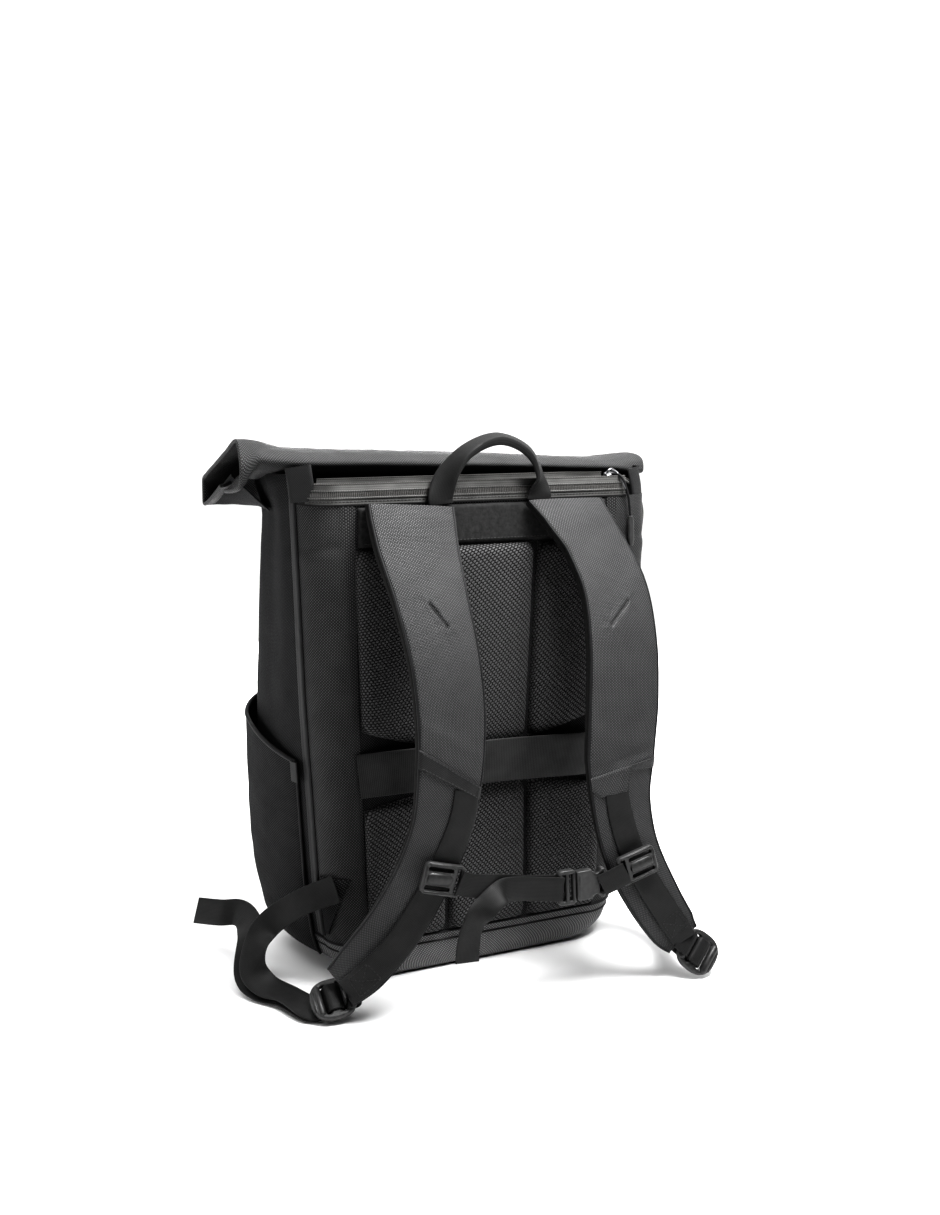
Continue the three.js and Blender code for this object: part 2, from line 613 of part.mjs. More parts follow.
add("shoulder_strap_left", strap(STRAP_LEFT, STRAP_STEPS, { profile: PADDED }), "shell");
add("shoulder_strap_right", strap(STRAP_RIGHT, STRAP_STEPS, { profile: PADDED }), "shell");

// Rows for something that lies on a strap: a share along it, a shift across it and a lift off its face
function rowsOn(strapRows, places) {
  const fine = 300;
  const frames = framesAlong(strapRows, fine);
  return places.map(({ along, shift, lift = 0, ...sizes }) => {
    const frame = frames[Math.round(along * fine)];
    const at = frame.at
      .clone()
      .addScaledVector(frame.across, shift)
      .addScaledVector(frame.face, frame.size("thick") / 2 + lift);
    return { at: at.toArray(), face: frame.face.toArray(), ...sizes };
  });
}

// Hem bands across the straps and the rail webbing that carries the sternum strap
const HEM = { width: 19, thick: 2, lift: 1.5 };
const hemPlaces = (outer, slope) =>
  [-0.92, 0, 0.92].map((side) => ({ along: outer + slope * side, shift: 31 * side, lift: HEM.lift }));
add("hem_band_left", strap(rowsOn(STRAP_LEFT, hemPlaces(0.578, -0.027)), 4, HEM), "webbing");
add("hem_band_right", strap(rowsOn(STRAP_RIGHT, hemPlaces(0.584, 0.036)), 4, HEM), "webbing");
const railPlaces = (from, shift) => steps(6, from, 1).map((along) => ({ along, shift, lift: 1.8 }));
const RAIL = { width: 28, thick: WEB_THICK };
add("rail_left", strap(rowsOn(STRAP_LEFT, railPlaces(0.618, -7)), 14, RAIL), "webbing");
add("rail_right", strap(rowsOn(STRAP_RIGHT, railPlaces(0.624, -2)), 14, RAIL), "webbing");

// Moulded fittings: a plate over an outline, with slots cut through it, set on its own axes
function plate(outline, slots, thick, bevel) {
  const shape = new THREE.Shape(outline.map(([x, y]) => new THREE.Vector2(x, y)));
  const whole = new THREE.ExtrudeGeometry(shape, {
    depth: thick - 2 * bevel, bevelEnabled: true, bevelSize: bevel, bevelThickness: bevel,
    bevelOffset: -bevel, bevelSegments: 1,
  }).translate(0, 0, bevel - thick / 2);
  const holes = slots.map(({ x, y, w, h }) => new THREE.BoxGeometry(w, h, 2 * thick).translate(x, y, 0));
  return holes.length ? cut(whole, ...holes) : whole;
}

// Axes of a fitting: its middle, the direction of its length and the way its face looks
function axes(middle, length, face) {
  const y = vec(...length).normalize();
  const x = y.clone().cross(vec(...face)).normalize();
  const z = x.clone().cross(y);
  return new THREE.Matrix4().makeBasis(x, y, z).setPosition(...middle);
}

const oval = (w, h, count, power) =>
  steps(count).slice(0, -1).map((t) => {
    const [c, d] = [Math.cos(2 * Math.PI * t), Math.sin(2 * Math.PI * t)];
    return [(w / 2) * Math.sign(c) * Math.abs(c) ** power, (h / 2) * Math.sign(d) * Math.abs(d) ** power];
  });
const box = (w, h, corner) => [
  [-w / 2 + corner, -h / 2], [w / 2 - corner, -h / 2], [w / 2, -h / 2 + corner], [w / 2, h / 2 - corner],
  [w / 2 - corner, h / 2], [-w / 2 + corner, h / 2], [-w / 2, h / 2 - corner], [-w / 2, -h / 2 + corner],
];

// Ladderlocks at the ends of the straps, resting on the floor
const LADDER = { across: 39, along: 40, thick: 6, slotAt: 7.5, slot: 8, slotWide: 28 };
function ladderlock(place) {
  const slots = [-1, 1].map((d) => ({ x: 0, y: d * LADDER.slotAt, w: LADDER.slotWide, h: LADDER.slot }));
  return plate(oval(LADDER.across, LADDER.along, 28, 0.8), slots, LADDER.thick, 1).applyMatrix4(place);
}
const LADDER_LEFT = axes([-171, -142, 17], [-0.95, 0.12, -0.12], [-0.25, -0.5, 0.82]);
const LADDER_RIGHT = axes([164.4, -205.2, 22.8], [0.7, -0.3, -0.6], [-0.12, -0.9, 0.4]);
add("ladderlock_left", ladderlock(LADDER_LEFT), "plastic");
add("ladderlock_right", ladderlock(LADDER_RIGHT), "plastic");

// The lower webbing runs from its anchor round the middle bar of the ladderlock and ends in a free tail
const LACING = [
  { v: 18, w: -4.6 }, { v: 13, w: -4.5 }, { v: 8.8, w: -3.4 }, { v: 7.2, w: 0 },
  { v: 4.4, w: 4.3 }, { v: 0, w: 4.8 }, { v: -4.4, w: 4.3 }, { v: -7.2, w: 0 },
  { v: -6.2, w: -4.4 }, { v: -1, w: -6.6 }, { v: 12, w: -6.9 }, { v: 18, w: -7.2 },
];
function lacing(place, direction) {
  const basis = [vec(), vec(), vec()];
  place.extractBasis(...basis);
  const rows = LACING.map(({ v, w }) => vec(0, direction * v, w).applyMatrix4(place));
  return rows.map((at, i) => {
    const ahead = rows[Math.min(i + 1, rows.length - 1)].clone().sub(rows[Math.max(i - 1, 0)]);
    const face = basis[0].clone().cross(ahead).normalize().multiplyScalar(-direction);
    return { at: at.toArray(), face: face.toArray() };
  });
}
const turnedOver = (rows) => rows.map(({ at, face }) => ({ at, face: face.map((n) => -n) }));
const TURNED_UP = [-0.3, -0.75, 0.55];
const TURNED_OUT = [-0.65, -0.55, 0.5];
const LEANING = [-0.04, -0.2, 0.98];
const anchorRoot = (place) => wallPoint(95, place, -6).toArray();
const LOWER_LEFT = [
  { at: anchorRoot(1.45), face: [-0.6, -0.7, 0.3] },
  { at: [-175, -68, 79], face: TURNED_UP },
  { at: [-201, -51, 56], face: TURNED_UP },
  { at: [-216, -59, 41], face: TURNED_OUT },
  { at: [-221, -69, 24], face: [-0.45, -0.55, 0.7] },
  { at: [-214, -82, 13.6], face: [-0.25, -0.35, 0.9] },
  { at: [-200, -101, 10.2], face: LEANING },
  ...lacing(LADDER_LEFT, 1),
  ...turnedOver([
    { at: [-201, -99, 5.2], face: LEANING },
    { at: [-217, -77, 7.5], face: [-0.2, -0.3, 0.9] },
    { at: [-224, -60, 17], face: [-0.5, -0.5, 0.7] },
    { at: [-212, -32, 40], face: TURNED_UP },
    { at: [-208, 0, 46], face: [-0.5, -0.7, 0.5] },
    { at: [-212, 16, 46], face: [-0.6, -0.6, 0.5] },
    { at: [-224, 26, 44], face: [-0.6, -0.6, 0.5] },
    { at: [-242, 52, 40], face: [-0.6, -0.6, 0.5] },
  ]),
];
add("lower_web_left", strap(LOWER_LEFT, 78), "webbing");
const LOWER_RIGHT = [
  { at: anchorRoot(8.55), face: [0.6, -0.7, 0.3] },
  { at: [166, -104, 78], face: [0.3, -0.6, 0.7] },
  { at: [170, -142, 56], face: [0, -0.6, 0.8] },
  { at: [157, -180, 40], face: [-0.2, -0.75, 0.6] },
  ...lacing(LADDER_RIGHT, -1).slice(0, -1),
  ...turnedOver([
    { at: [139, -186, 54], face: [-0.1, -1, 0.1] },
    { at: [124, -185, 76], face: [0, -1, 0.1] },
    { at: [114, -181, 100], face: [0, -1, 0] },
  ]),
];
add("lower_web_right", strap(LOWER_RIGHT, 64), "webbing");

// Anchor tabs: triangles of cloth sewn to the gussets, under the roots of the lower webbing
function anchorTab(sign) {
  const place = (u) => (sign < 0 ? u : ROUND - u);
  const grid = (offset) =>
    steps(3).map((t) =>
      steps(3).map((v) => wallPoint(lerp(46, 102, t), place(lerp(lerp(1.74, 1.22, t), 1.82, v)), -offset)));
  return sheet(grid(2.8), grid(0.8));
}
add("anchor_tab_left", anchorTab(-1), "shell");
add("anchor_tab_right", anchorTab(1), "shell");

// The sternum strap: a slider on each rail, webbing on both sides of a buckle, and a hanging tail
const SLIDER = { w: 28, h: 38, thick: 5 };
function sternumSlider(place) {
  const slots = [
    { x: -8.5, y: -5, w: 4, h: 22 }, { x: 8.5, y: -5, w: 4, h: 22 }, { x: 0, y: 13.5, w: 22, h: 3.6 },
  ];
  return plate(box(SLIDER.w, SLIDER.h, 3), slots, SLIDER.thick, 0.8).applyMatrix4(place);
}
const SLIDER_LEFT = axes([-87, -187.5, 128], [0.96, -0.06, -0.26], [-0.1, -1, 0]);
const SLIDER_RIGHT = axes([98, -202.6, 117], [-0.95, 0.06, -0.28], [0, -1, 0]);
add("sternum_slider_left", sternumSlider(SLIDER_LEFT), "plastic");
add("sternum_slider_right", sternumSlider(SLIDER_RIGHT), "plastic");
const FACING = [-0.05, -1, 0.05];
const STERNUM_LEFT = [
  { at: [-73.5, -192.8, 124.5], face: FACING },
  { at: [-66, -192.6, 121], face: FACING },
  { at: [-27, -187, 112], face: FACING },
  { at: [0, -184.6, 106], face: FACING },
  { at: [27, -183.8, 102], face: FACING },
];
add("sternum_web_left", strap(STERNUM_LEFT, 14, { width: 21 }), "webbing");
const STERNUM_TAIL = [
  { at: [27, -193.5, 102], face: FACING },
  { at: [0, -192, 106], face: FACING },
  { at: [-24, -192.5, 108], face: FACING },
  { at: [-44, -194, 101], face: FACING },
  { at: [-57, -194, 88], face: FACING },
  { at: [-62, -193, 72], face: FACING },
  { at: [-63, -192, 50], face: FACING },
];
add("sternum_tail", strap(STERNUM_TAIL, 22, { width: 22 }), "webbing");
const STERNUM_RIGHT = [
  { at: [63, -199.2, 102], face: FACING },
  { at: [72, -202.6, 106.5], face: FACING },
  { at: [85, -207, 113.2], face: FACING },
];
add("sternum_web_right", strap(STERNUM_RIGHT, 5, { width: 21 }), "webbing");

const BUCKLE_AXIS = [0.99, -0.1, 0.03];
const PLUG = { w: 32, h: 17, thick: 7 };
const plugSlots = [{ x: 0, y: -3.6, w: 24, h: 4.4 }, { x: 0, y: 3.6, w: 24, h: 4.4 }];
const plug = plate(box(PLUG.w, PLUG.h, 3), plugSlots, PLUG.thick, 0.8);
add("buckle_plug", plug.applyMatrix4(axes([32.5, -189.5, 102], BUCKLE_AXIS, FACING)), "plastic");
const SOCKET = [
  [-12, -13.5], [12, -13.5], [15, -10], [15.5, -5], [12, -1], [11.5, 3], [14, 7], [13, 12], [9, 13.5],
  [-9, 13.5], [-13, 12], [-14, 7], [-11.5, 3], [-12, -1], [-15.5, -5], [-15, -10],
];
const socket = plate(SOCKET, [{ x: 0, y: 10, w: 22, h: 3.6 }], 9, 1.2);
add("buckle_socket", socket.applyMatrix4(axes([55, -192, 103], BUCKLE_AXIS, FACING)), "plastic");

// The front closure that holds the roll down: one webbing and one plain clasp
const onFront = (z, offset) => wallPoint(z, 5, -offset).toArray();
const CLOSURE = [
  ...[300, 350, 400].map((z) => ({ at: onFront(z, 2.2), face: [0, 1, 0] })),
  { at: [0, 97.6, 424], face: [0, 1, 0] },
  { at: [0, 97.8, 438], face: [0, 1, 0] },
  { at: [0, 95.6, 452], face: [0, 1, 0.2] },
];
add("closure_web", strap(CLOSURE, 12), "webbing");
const CLASP = axes(onFront(350, 8.6), [0, 0, 1], [0, 1, 0]);
add("closure_clasp", plate(box(32, 42, 4), [], 7, 1).applyMatrix4(CLASP), "plastic");

export default backpack;
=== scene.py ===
from math import atan2, ceil, copysign, cos, exp, hypot, pi, radians, sin, sqrt
from types import SimpleNamespace as Values

import bpy
import numpy as np
from mathutils import Matrix, Vector, noise


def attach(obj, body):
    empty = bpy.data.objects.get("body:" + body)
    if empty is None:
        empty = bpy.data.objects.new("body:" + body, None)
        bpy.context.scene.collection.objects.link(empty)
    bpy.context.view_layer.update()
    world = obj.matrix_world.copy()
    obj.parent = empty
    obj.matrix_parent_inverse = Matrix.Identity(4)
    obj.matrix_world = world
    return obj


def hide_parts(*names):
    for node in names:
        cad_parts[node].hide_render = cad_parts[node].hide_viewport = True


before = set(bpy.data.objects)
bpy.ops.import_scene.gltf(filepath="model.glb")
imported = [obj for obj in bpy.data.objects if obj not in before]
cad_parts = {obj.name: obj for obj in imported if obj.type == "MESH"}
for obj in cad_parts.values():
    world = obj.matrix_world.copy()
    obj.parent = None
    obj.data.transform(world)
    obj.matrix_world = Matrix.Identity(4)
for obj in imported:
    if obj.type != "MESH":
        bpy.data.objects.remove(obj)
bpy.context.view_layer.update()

# Driving sizes in millimetres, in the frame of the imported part
MM = 0.001
CLOTH = 2.0
GAP = 0.4
WEB = 25.0
WEB_THICK = 1.8
REAR = -92.0
DIVIDER = -57.0
REAR_ROUND = 34.0
FRONT_ROUND = 42.0
SIDE_BULGE = 5.0
TRAY_TOP = 37.0
PANEL_TOP = 430.0
SIDE_TOP = 456.0
LAPTOP_TOP = 440.0
ZIP_TOP = 459.0
FACE = REAR - GAP
LOW = TRAY_TOP + GAP

# Places round the wall, and the two sides with their signs along X
ROUND = 10
REAR_SEAM = 2
RIGHT_SEAM = ROUND - REAR_SEAM
FRONT_SEAM = 3.3
FRONT_MIDDLE = ROUND / 2
SEAM = 0.004
SIDES = (("left", -1), ("right", 1))


# Objects of the scene
studio = bpy.context.scene


def placed(name, data):
    made = bpy.data.objects.new(name, data)
    studio.collection.objects.link(made)
    return made


# Numbers and curves
def table(names, *rows):
    """Rows of numbers under the names of their columns."""
    return [dict(zip(names.split(), numbers)) for numbers in rows]


def vec(*xyz):
    return np.array(xyz, float)


# Up, and the way the harness side faces
UP = vec(0, 0, 1)
HARNESS = vec(0, -1, 0)


def unit(v):
    v = np.asarray(v, float)
    return v / np.linalg.norm(v)


def points_of(places):
    return [np.asarray(p, float) for p in places]


def lerp(a, b, t):
    return a + (b - a) * t


def clamp(x):
    return min(max(x, 0.0), 1.0)


def steps(count, start=0.0, end=1.0):
    return [lerp(start, end, i / count) for i in range(count + 1)]


def turn(count):
    """Angles spaced evenly round a full turn."""
    return [2 * pi * k / count for k in range(count)]


def smooth(low, high, x):
    t = clamp((x - low) / (high - low))
    return t * t * (3 - 2 * t)


def hump(x, middle, width):
    return exp(-(((x - middle) / width) ** 2))


def arch(t):
    return sin(pi * t)


def ripple(p, size, seed=0.0):
    """Smooth noise from -1 to 1 whose waves are about size millimetres long."""
    return noise.noise(Vector((p[0] / size + seed, p[1] / size, p[2] / size)))


def edge_round(distance, radius):
    """Share of the full height at a distance from a rounded edge."""
    return sqrt(1 - (1 - clamp(distance / radius)) ** 2)


def column(rows, key, name, at):
    """A column of a table at a place along another column, on a smooth curve through its rows."""
    last = len(rows) - 1
    i = max(1, next((n for n, r in enumerate(rows) if r[key] > at), last))
    a, b = rows[i - 1], rows[i]
    before, after = rows[max(i - 2, 0)], rows[min(i + 1, last)]
    span = b[key] - a[key]
    t = clamp((at - a[key]) / span)
    slope_a = (b[name] - before[name]) / (b[key] - before[key]) * span
    slope_b = (after[name] - a[name]) / (after[key] - a[key]) * span
    t2, t3 = t * t, t * t * t
    return (
        (2 * t3 - 3 * t2 + 1) * a[name]
        + (t3 - 2 * t2 + t) * slope_a
        + (3 * t2 - 2 * t3) * b[name]
        + (t3 - t2) * slope_b
    )


class Curve:
    """A smooth open curve through points, counted from 0 at the first to 1 at the last."""

    def __init__(self, points):
        self.p = points_of(points)

    def at(self, t):
        p, last = self.p, len(self.p) - 1
        place = clamp(t) * last
        i = min(int(place), last - 1)
        w = place - i
        p1, p2 = p[i], p[i + 1]
        p0 = p[i - 1] if i > 0 else 2 * p1 - p2
        p3 = p[i + 2] if i + 2 <= last else 2 * p2 - p1
        d0, d1, d2 = (np.linalg.norm(b - a) ** 0.5 for a, b in ((p0, p1), (p1, p2), (p2, p3)))
        d1 = d1 if d1 > 0.01 else 1.0
        d0 = d0 if d0 > 0.01 else d1
        d2 = d2 if d2 > 0.01 else d1
        m1 = ((p1 - p0) / d0 - (p2 - p0) / (d0 + d1) + (p2 - p1) / d1) * d1
        m2 = ((p2 - p1) / d1 - (p3 - p1) / (d1 + d2) + (p3 - p2) / d2) * d1
        c2 = -3 * p1 + 3 * p2 - 2 * m1 - m2
        c3 = 2 * p1 - 2 * p2 + m1 + m2
        return p1 + w * (m1 + w * (c2 + w * c3))

    def along(self, t):
        return unit(self.at(min(t + 1e-4, 1)) - self.at(max(t - 1e-4, 0)))

    def line(self, count):
        return [self.at(t) for t in steps(count)]


def row(at, face, width=None, thick=None, level=0.0):
    """One place of a band: its middle, the way it faces, its width and thickness, and how level it lies."""
    return Values(at=at, face=face, width=width, thick=thick, level=level)


def frames_along(rows, count, start=0.0, end=1.0):
    """Frames along a curve through rows: place, direction, direction across, face direction and sizes."""
    curve = Curve([r.at for r in rows])
    looks = Curve([unit(r.face) for r in rows])
    found = []
    for t in steps(count, start, end):
        place = t * (len(rows) - 1)
        i = min(int(place), len(rows) - 2)
        size = {}
        for name in ("width", "thick", "level"):
            a, b = getattr(rows[i], name), getattr(rows[i + 1], name)
            size[name] = None if a is None else lerp(a, b, place - i)
        along = curve.along(t)
        across = unit(np.cross(along, looks.at(t)))
        across = unit(lerp(across, vec(-1, 0, 0), size.pop("level")))
        face = unit(np.cross(across, along))
        found.append(Values(at=curve.at(t), along=along, across=across, face=face, t=t, **size))
    return found


def beside(f, across, out):
    """The point so far across from the middle of a band and so far out along its face direction."""
    return f.at + f.across * across + f.face * out


# Wall of the bag
SECTIONS = table(
    "z rear_half front_half front crown",
    (37, 150, 163, 84, 4), (80, 155, 171, 88, 7), (150, 159, 175, 90, 9),
    (260, 165, 175, 90, 9), (350, 168, 171, 88, 7), (440, 171, 167, 85, 4),
)
TRAY = table("z inset_x inset_y", (0, 40, 12), (3, 27, 6), (9, 16, 2.5), (19, 6, 0.8), (37, 0, 0))


def from_rear(place):
    """A place round the wall, counted from the middle of the harness face on its own side."""
    return place if place <= FRONT_MIDDLE else ROUND - place


def on_side(u, sign):
    """The place on the left or right side that is counted u from the middle of the harness face."""
    return u if sign < 0 else ROUND - u


def wall_point(z, place, inset=0.0):
    """A point of the outer wall: 0 to 1 harness face, 1 to 2 rear corner, 2 to 3 side, 3 to 4 front corner,
    4 to 5 front, and from 5 back to 10 the same stretches on the other side."""
    s = place % ROUND
    u = from_rear(s)
    sign = -1 if s <= FRONT_MIDDLE else 1
    high = max(z, TRAY_TOP)
    in_x, in_y = inset, inset
    if z < TRAY_TOP:
        in_x += column(TRAY, "z", "inset_x", max(z, 0))
        in_y += column(TRAY, "z", "inset_y", max(z, 0))
    rear_half = column(SECTIONS, "z", "rear_half", high) - in_x
    front_half = column(SECTIONS, "z", "front_half", high) - in_x
    rear = REAR + in_y
    front = column(SECTIONS, "z", "front", high) - in_y
    r, f = REAR_ROUND - inset, FRONT_ROUND - inset
    stretch = max(0, min(ceil(u) - 1, 4))
    t = u - stretch
    across, along = sin(t * pi / 2), cos(t * pi / 2)
    if stretch == 0:
        x, y = t * (rear_half - r), rear
    elif stretch == 1:
        x, y = rear_half - r + r * across, rear + r - r * along
    elif stretch == 2:
        x, y = lerp(rear_half, front_half, t) + SIDE_BULGE * arch(t), lerp(rear + r, front - f, t)
    elif stretch == 3:
        x, y = front_half - f + f * along, front - f + f * across
    else:
        x, y = (front_half - f) * (1 - t), front + column(SECTIONS, "z", "crown", high) * across
    return vec(sign * x, y, z)


def panel_top(place):
    return lerp(SIDE_TOP, PANEL_TOP, smooth(2, 3.2, from_rear(place)))


# Materials
def shade(color):
    """A colour with its alpha, from a grey level or from red, green and blue."""
    return (*color, 1) if isinstance(color, tuple) else (color, color, color, 1)


class Graph:
    """The nodes of a material or of the world, with a short way to write sums."""

    def __init__(self, owner):
        self.owner = owner
        owner.use_nodes = True
        self.tree = owner.node_tree

    def put(self, socket, value):
        if isinstance(value, bpy.types.NodeSocket):
            self.tree.links.new(value, socket)
        else:
            socket.default_value = value

    def node(self, kind, **inputs):
        made = self.tree.nodes.new(kind)
        for name, value in inputs.items():
            self.put(made.inputs[name.replace("_", " ")], value)
        return made

    def math(self, how, *values):
        made = self.node("ShaderNodeMath")
        made.operation = how
        for socket, value in zip(made.inputs, values):
            self.put(socket, value)
        return made.outputs[0]

    def add(self, a, b):
        return self.math("ADD", a, b)

    def mul(self, a, b):
        return self.math("MULTIPLY", a, b)

    def less(self, a, b):
        return self.math("SUBTRACT", a, b)

    def fract(self, a):
        return self.math("FRACT", a)

    def wave(self, value, turns):
        return self.math("SINE", self.mul(value, turns))

    def uv(self, pitch_u, pitch_v):
        parts = self.node("ShaderNodeSeparateXYZ")
        self.put(parts.inputs[0], self.node("ShaderNodeUVMap").outputs[0])
        return self.math("DIVIDE", parts.outputs[0], pitch_u), self.math("DIVIDE", parts.outputs[1], pitch_v)

    def noise(self, scale, detail=3.0, rough=0.55):
        place = self.node("ShaderNodeTexCoord").outputs["Object"]
        made = self.node("ShaderNodeTexNoise", Vector=place, Scale=scale, Detail=detail, Roughness=rough)
        return made.outputs["Fac"]

    def between(self, factor, dark, light):
        made = self.node("ShaderNodeMix")
        made.data_type = "RGBA"
        for place, value in ((0, factor), (6, shade(dark)), (7, shade(light))):
            self.put(made.inputs[place], value)
        return made.outputs[2]

    def span(self, value, low, high, to_low, to_high):
        return self.node(
            "ShaderNodeMapRange", Value=value, From_Min=low, From_Max=high, To_Min=to_low, To_Max=to_high
        ).outputs[0]

    def bump(self, height, distance, strength=1.0, onto=None):
        made = self.node("ShaderNodeBump", Height=height, Distance=distance, Strength=strength)
        if onto is not None:
            self.put(made.inputs["Normal"], onto)
        return made.outputs[0]

    def weave(self, pitch):
        """A plain weave: its height, 0 between the threads and 1 on them, and where the warp is on top."""
        u, v = self.uv(pitch, pitch)
        over = self.math("MODULO", self.add(self.math("FLOOR", u), self.math("FLOOR", v)), 2.0)
        over = self.math("ABSOLUTE", over)
        warp = self.wave(self.fract(u), pi)
        weft = self.wave(self.fract(v), pi)
        under = self.less(1.0, over)
        warp_up = self.mul(over, self.mul(warp, self.math("POWER", weft, 0.35)))
        weft_up = self.mul(under, self.mul(weft, self.math("POWER", warp, 0.35)))
        return self.add(warp_up, weft_up), over

    def finish(self, color, rough, normal=None, sheen=0.0, metallic=0.0, specular=0.5):
        shader = self.tree.nodes["Principled BSDF"]
        values = {
            "Base Color": color, "Roughness": rough, "Normal": normal, "Sheen Weight": sheen,
            "Sheen Roughness": 0.45, "Metallic": metallic, "Specular IOR Level": specular,
        }
        for name, value in values.items():
            if value is not None:
                self.put(shader.inputs[name], value)
        return self.owner


def material(name):
    return Graph(bpy.data.materials.new(name))


def woven(name, pitch, dark, light, depth, sheen=0.02, gloss=0.5, specular=0.3):
    worn = 0.1
    g = material(name)
    height, over = g.weave(pitch)
    patch = g.span(g.noise(38.0), 0.3, 0.7, 0.0, worn)
    # Painted sheen and shade: threads are lighter where the warp lies on top and darker where the weft does,
    # and darker still in the grooves between them.
    thread = g.mul(height, g.span(over, 0.0, 1.0, 0.1, 1.0))
    tone = g.add(g.mul(thread, 1.0 - worn), patch)
    crease = g.bump(g.noise(55.0, 4.0), 0.001, 0.25)
    normal = g.bump(height, depth, 1.0, crease)
    rough = g.span(height, 0.0, 1.0, 0.8, gloss)
    return g.finish(g.between(tone, dark, light), rough, normal, sheen, specular=specular)


def mesh_cloth(name, dark, light):
    """Spacer mesh: slanting raised grains in staggered rows, with painted shade that darkens the pits between
    them.
    """
    g = material(name)
    u, v = g.uv(0.0037, 0.0026)
    slant = g.add(v, g.mul(u, -0.5))
    shift = g.mul(g.math("FLOOR", slant), 0.5)
    x = g.less(g.fract(g.add(u, shift)), 0.5)
    y = g.less(g.fract(slant), 0.5)
    far = g.add(g.mul(g.mul(x, x), 6.5), g.mul(g.mul(y, y), 5.0))
    grain = g.span(far, 0.45, 1.5, 1.0, 0.0)
    fine = g.noise(900.0, 2.0)
    normal = g.bump(grain, 0.0016, 1.0, g.bump(fine, 0.0004, 0.5))
    rough = g.span(grain, 0.0, 1.0, 0.95, 0.6)
    return g.finish(g.between(grain, dark, light), rough, normal, 0.02, specular=0.3)


def webbing(name, dark, light, rib=0.0012, turned=False):
    """Nylon webbing: fine chevron ribs along the band, or across it when turned; its colour paints shade,
    darker in the grooves between the ribs and lighter on their tops.
    """
    g = material(name)
    u, v = g.uv(0.0016, rib)[::-1] if turned else g.uv(rib, 0.0016)
    zig = g.math("PINGPONG", u, 1.0)
    wave = g.wave(g.add(v, g.mul(zig, 0.9)), 2 * pi)
    cord = g.wave(g.fract(u), pi)
    height = g.mul(g.span(wave, -1.0, 1.0, 0.6, 1.0), g.math("POWER", cord, 0.5))
    patch = g.span(g.noise(45.0), 0.3, 0.7, -0.25, 0.25)
    normal = g.bump(height, 0.00012, 0.7, g.bump(g.noise(70.0), 0.001, 0.2))
    rough = g.span(height, 0.0, 1.0, 0.75, 0.45)
    return g.finish(g.between(g.add(height, patch), dark, light), rough, normal, 0.02, specular=0.25)


def plain_cloth(name, dark, light, sheen, scale=160.0):
    g = material(name)
    streak = g.noise(scale, 5.0, 0.7)
    normal = g.bump(streak, 0.0008, 0.5)
    color = g.between(g.span(streak, 0.3, 0.7, 0.0, 1.0), dark, light)
    return g.finish(color, 0.85, normal, sheen, specular=0.3)


def moulding(name, dark, light, rough_low, rough_high, specular=0.5):
    g = material(name)
    speck = g.noise(260.0, 4.0)
    # Painted highlight: the colour is lighter on convex edges, found from their pointiness.
    convexity = g.node("ShaderNodeNewGeometry").outputs["Pointiness"]
    edge = g.span(convexity, 0.5, 0.58, 0.0, 0.7)
    tone = g.add(g.span(speck, 0.35, 0.65, 0.0, 0.3), edge)
    normal = g.bump(g.noise(900.0, 2.0), 0.00015, 0.4)
    rough = g.span(speck, 0.3, 0.7, rough_low, rough_high)
    return g.finish(g.between(tone, dark, light), rough, normal, specular=specular)


def metal(name, dark, light):
    g = material(name)
    scratch = g.noise(300.0, 6.0, 0.7)
    rough = g.span(scratch, 0.3, 0.7, 0.22, 0.42)
    color = g.between(g.span(scratch, 0.35, 0.65, 0.0, 1.0), dark, light)
    return g.finish(color, rough, g.bump(scratch, 0.0002, 0.3), metallic=1.0)


LOOK = {
    "coarse": woven("ballistic_weave", 0.00134, 0.003, (0.090, 0.090, 0.091), 0.0003, specular=0.22),
    "tray": woven("tray_weave", 0.00134, 0.034, (0.320, 0.320, 0.322), 0.0003),
    "fine": woven("coated_weave", 0.00125, (0.0065, 0.0065, 0.007), (0.066, 0.066, 0.067), 0.00014,
                  sheen=0.004, gloss=0.6, specular=0.05),
    "roll": woven("roll_weave", 0.00125, 0.005, (0.112, 0.112, 0.113), 0.0003, gloss=0.45),
    "strap": woven("strap_weave", 0.00124, (0.003, 0.003, 0.0035), (0.084, 0.084, 0.085), 0.0003,
                   gloss=0.36, specular=0.42),
    "hem": woven("hem_cloth", 0.00085, 0.008, (0.034, 0.034, 0.035), 0.00006, gloss=0.4),
    "mesh": mesh_cloth("spacer_mesh", 0.005, (0.078, 0.078, 0.079)),
    "web": webbing("nylon_webbing", 0.006, 0.0175),
    "band": webbing("band_webbing", 0.007, 0.033, 0.0017, True),
    "tape": webbing("zip_tape_cloth", (0.035, 0.035, 0.034), (0.110, 0.109, 0.106), 0.0022, True),
    "lining": plain_cloth("lining_and_shadow_cloth", 0.004, 0.009, 0.02),
    "velvet": plain_cloth("yoke_cloth", 0.008, 0.026, 0.06, 220.0),
    "binding": webbing("binding_tape", 0.006, (0.018, 0.018, 0.019), 0.0012),
    "thread": plain_cloth("thread", 0.026, 0.065, 0.03, 900.0),
    "dark_thread": plain_cloth("dark_thread", 0.016, 0.042, 0.03, 900.0),
    "plastic": moulding("moulded_plastic", 0.016, 0.062, 0.36, 0.5, 0.4),
    "coil": moulding("zip_coil", (0.024, 0.023, 0.022), (0.085, 0.082, 0.079), 0.3, 0.5),
    "metal": metal("die_cast_metal", (0.16, 0.16, 0.165), (0.36, 0.36, 0.37)),
}
SLOT = {
    "web": "webbing", "band": "webbing", "tape": "zip", "coil": "zip",
    "mesh": "mesh", "plastic": "plastic", "metal": "metal",
}
CLOTH_SHARP = 50
MOULDED_SHARP = 35


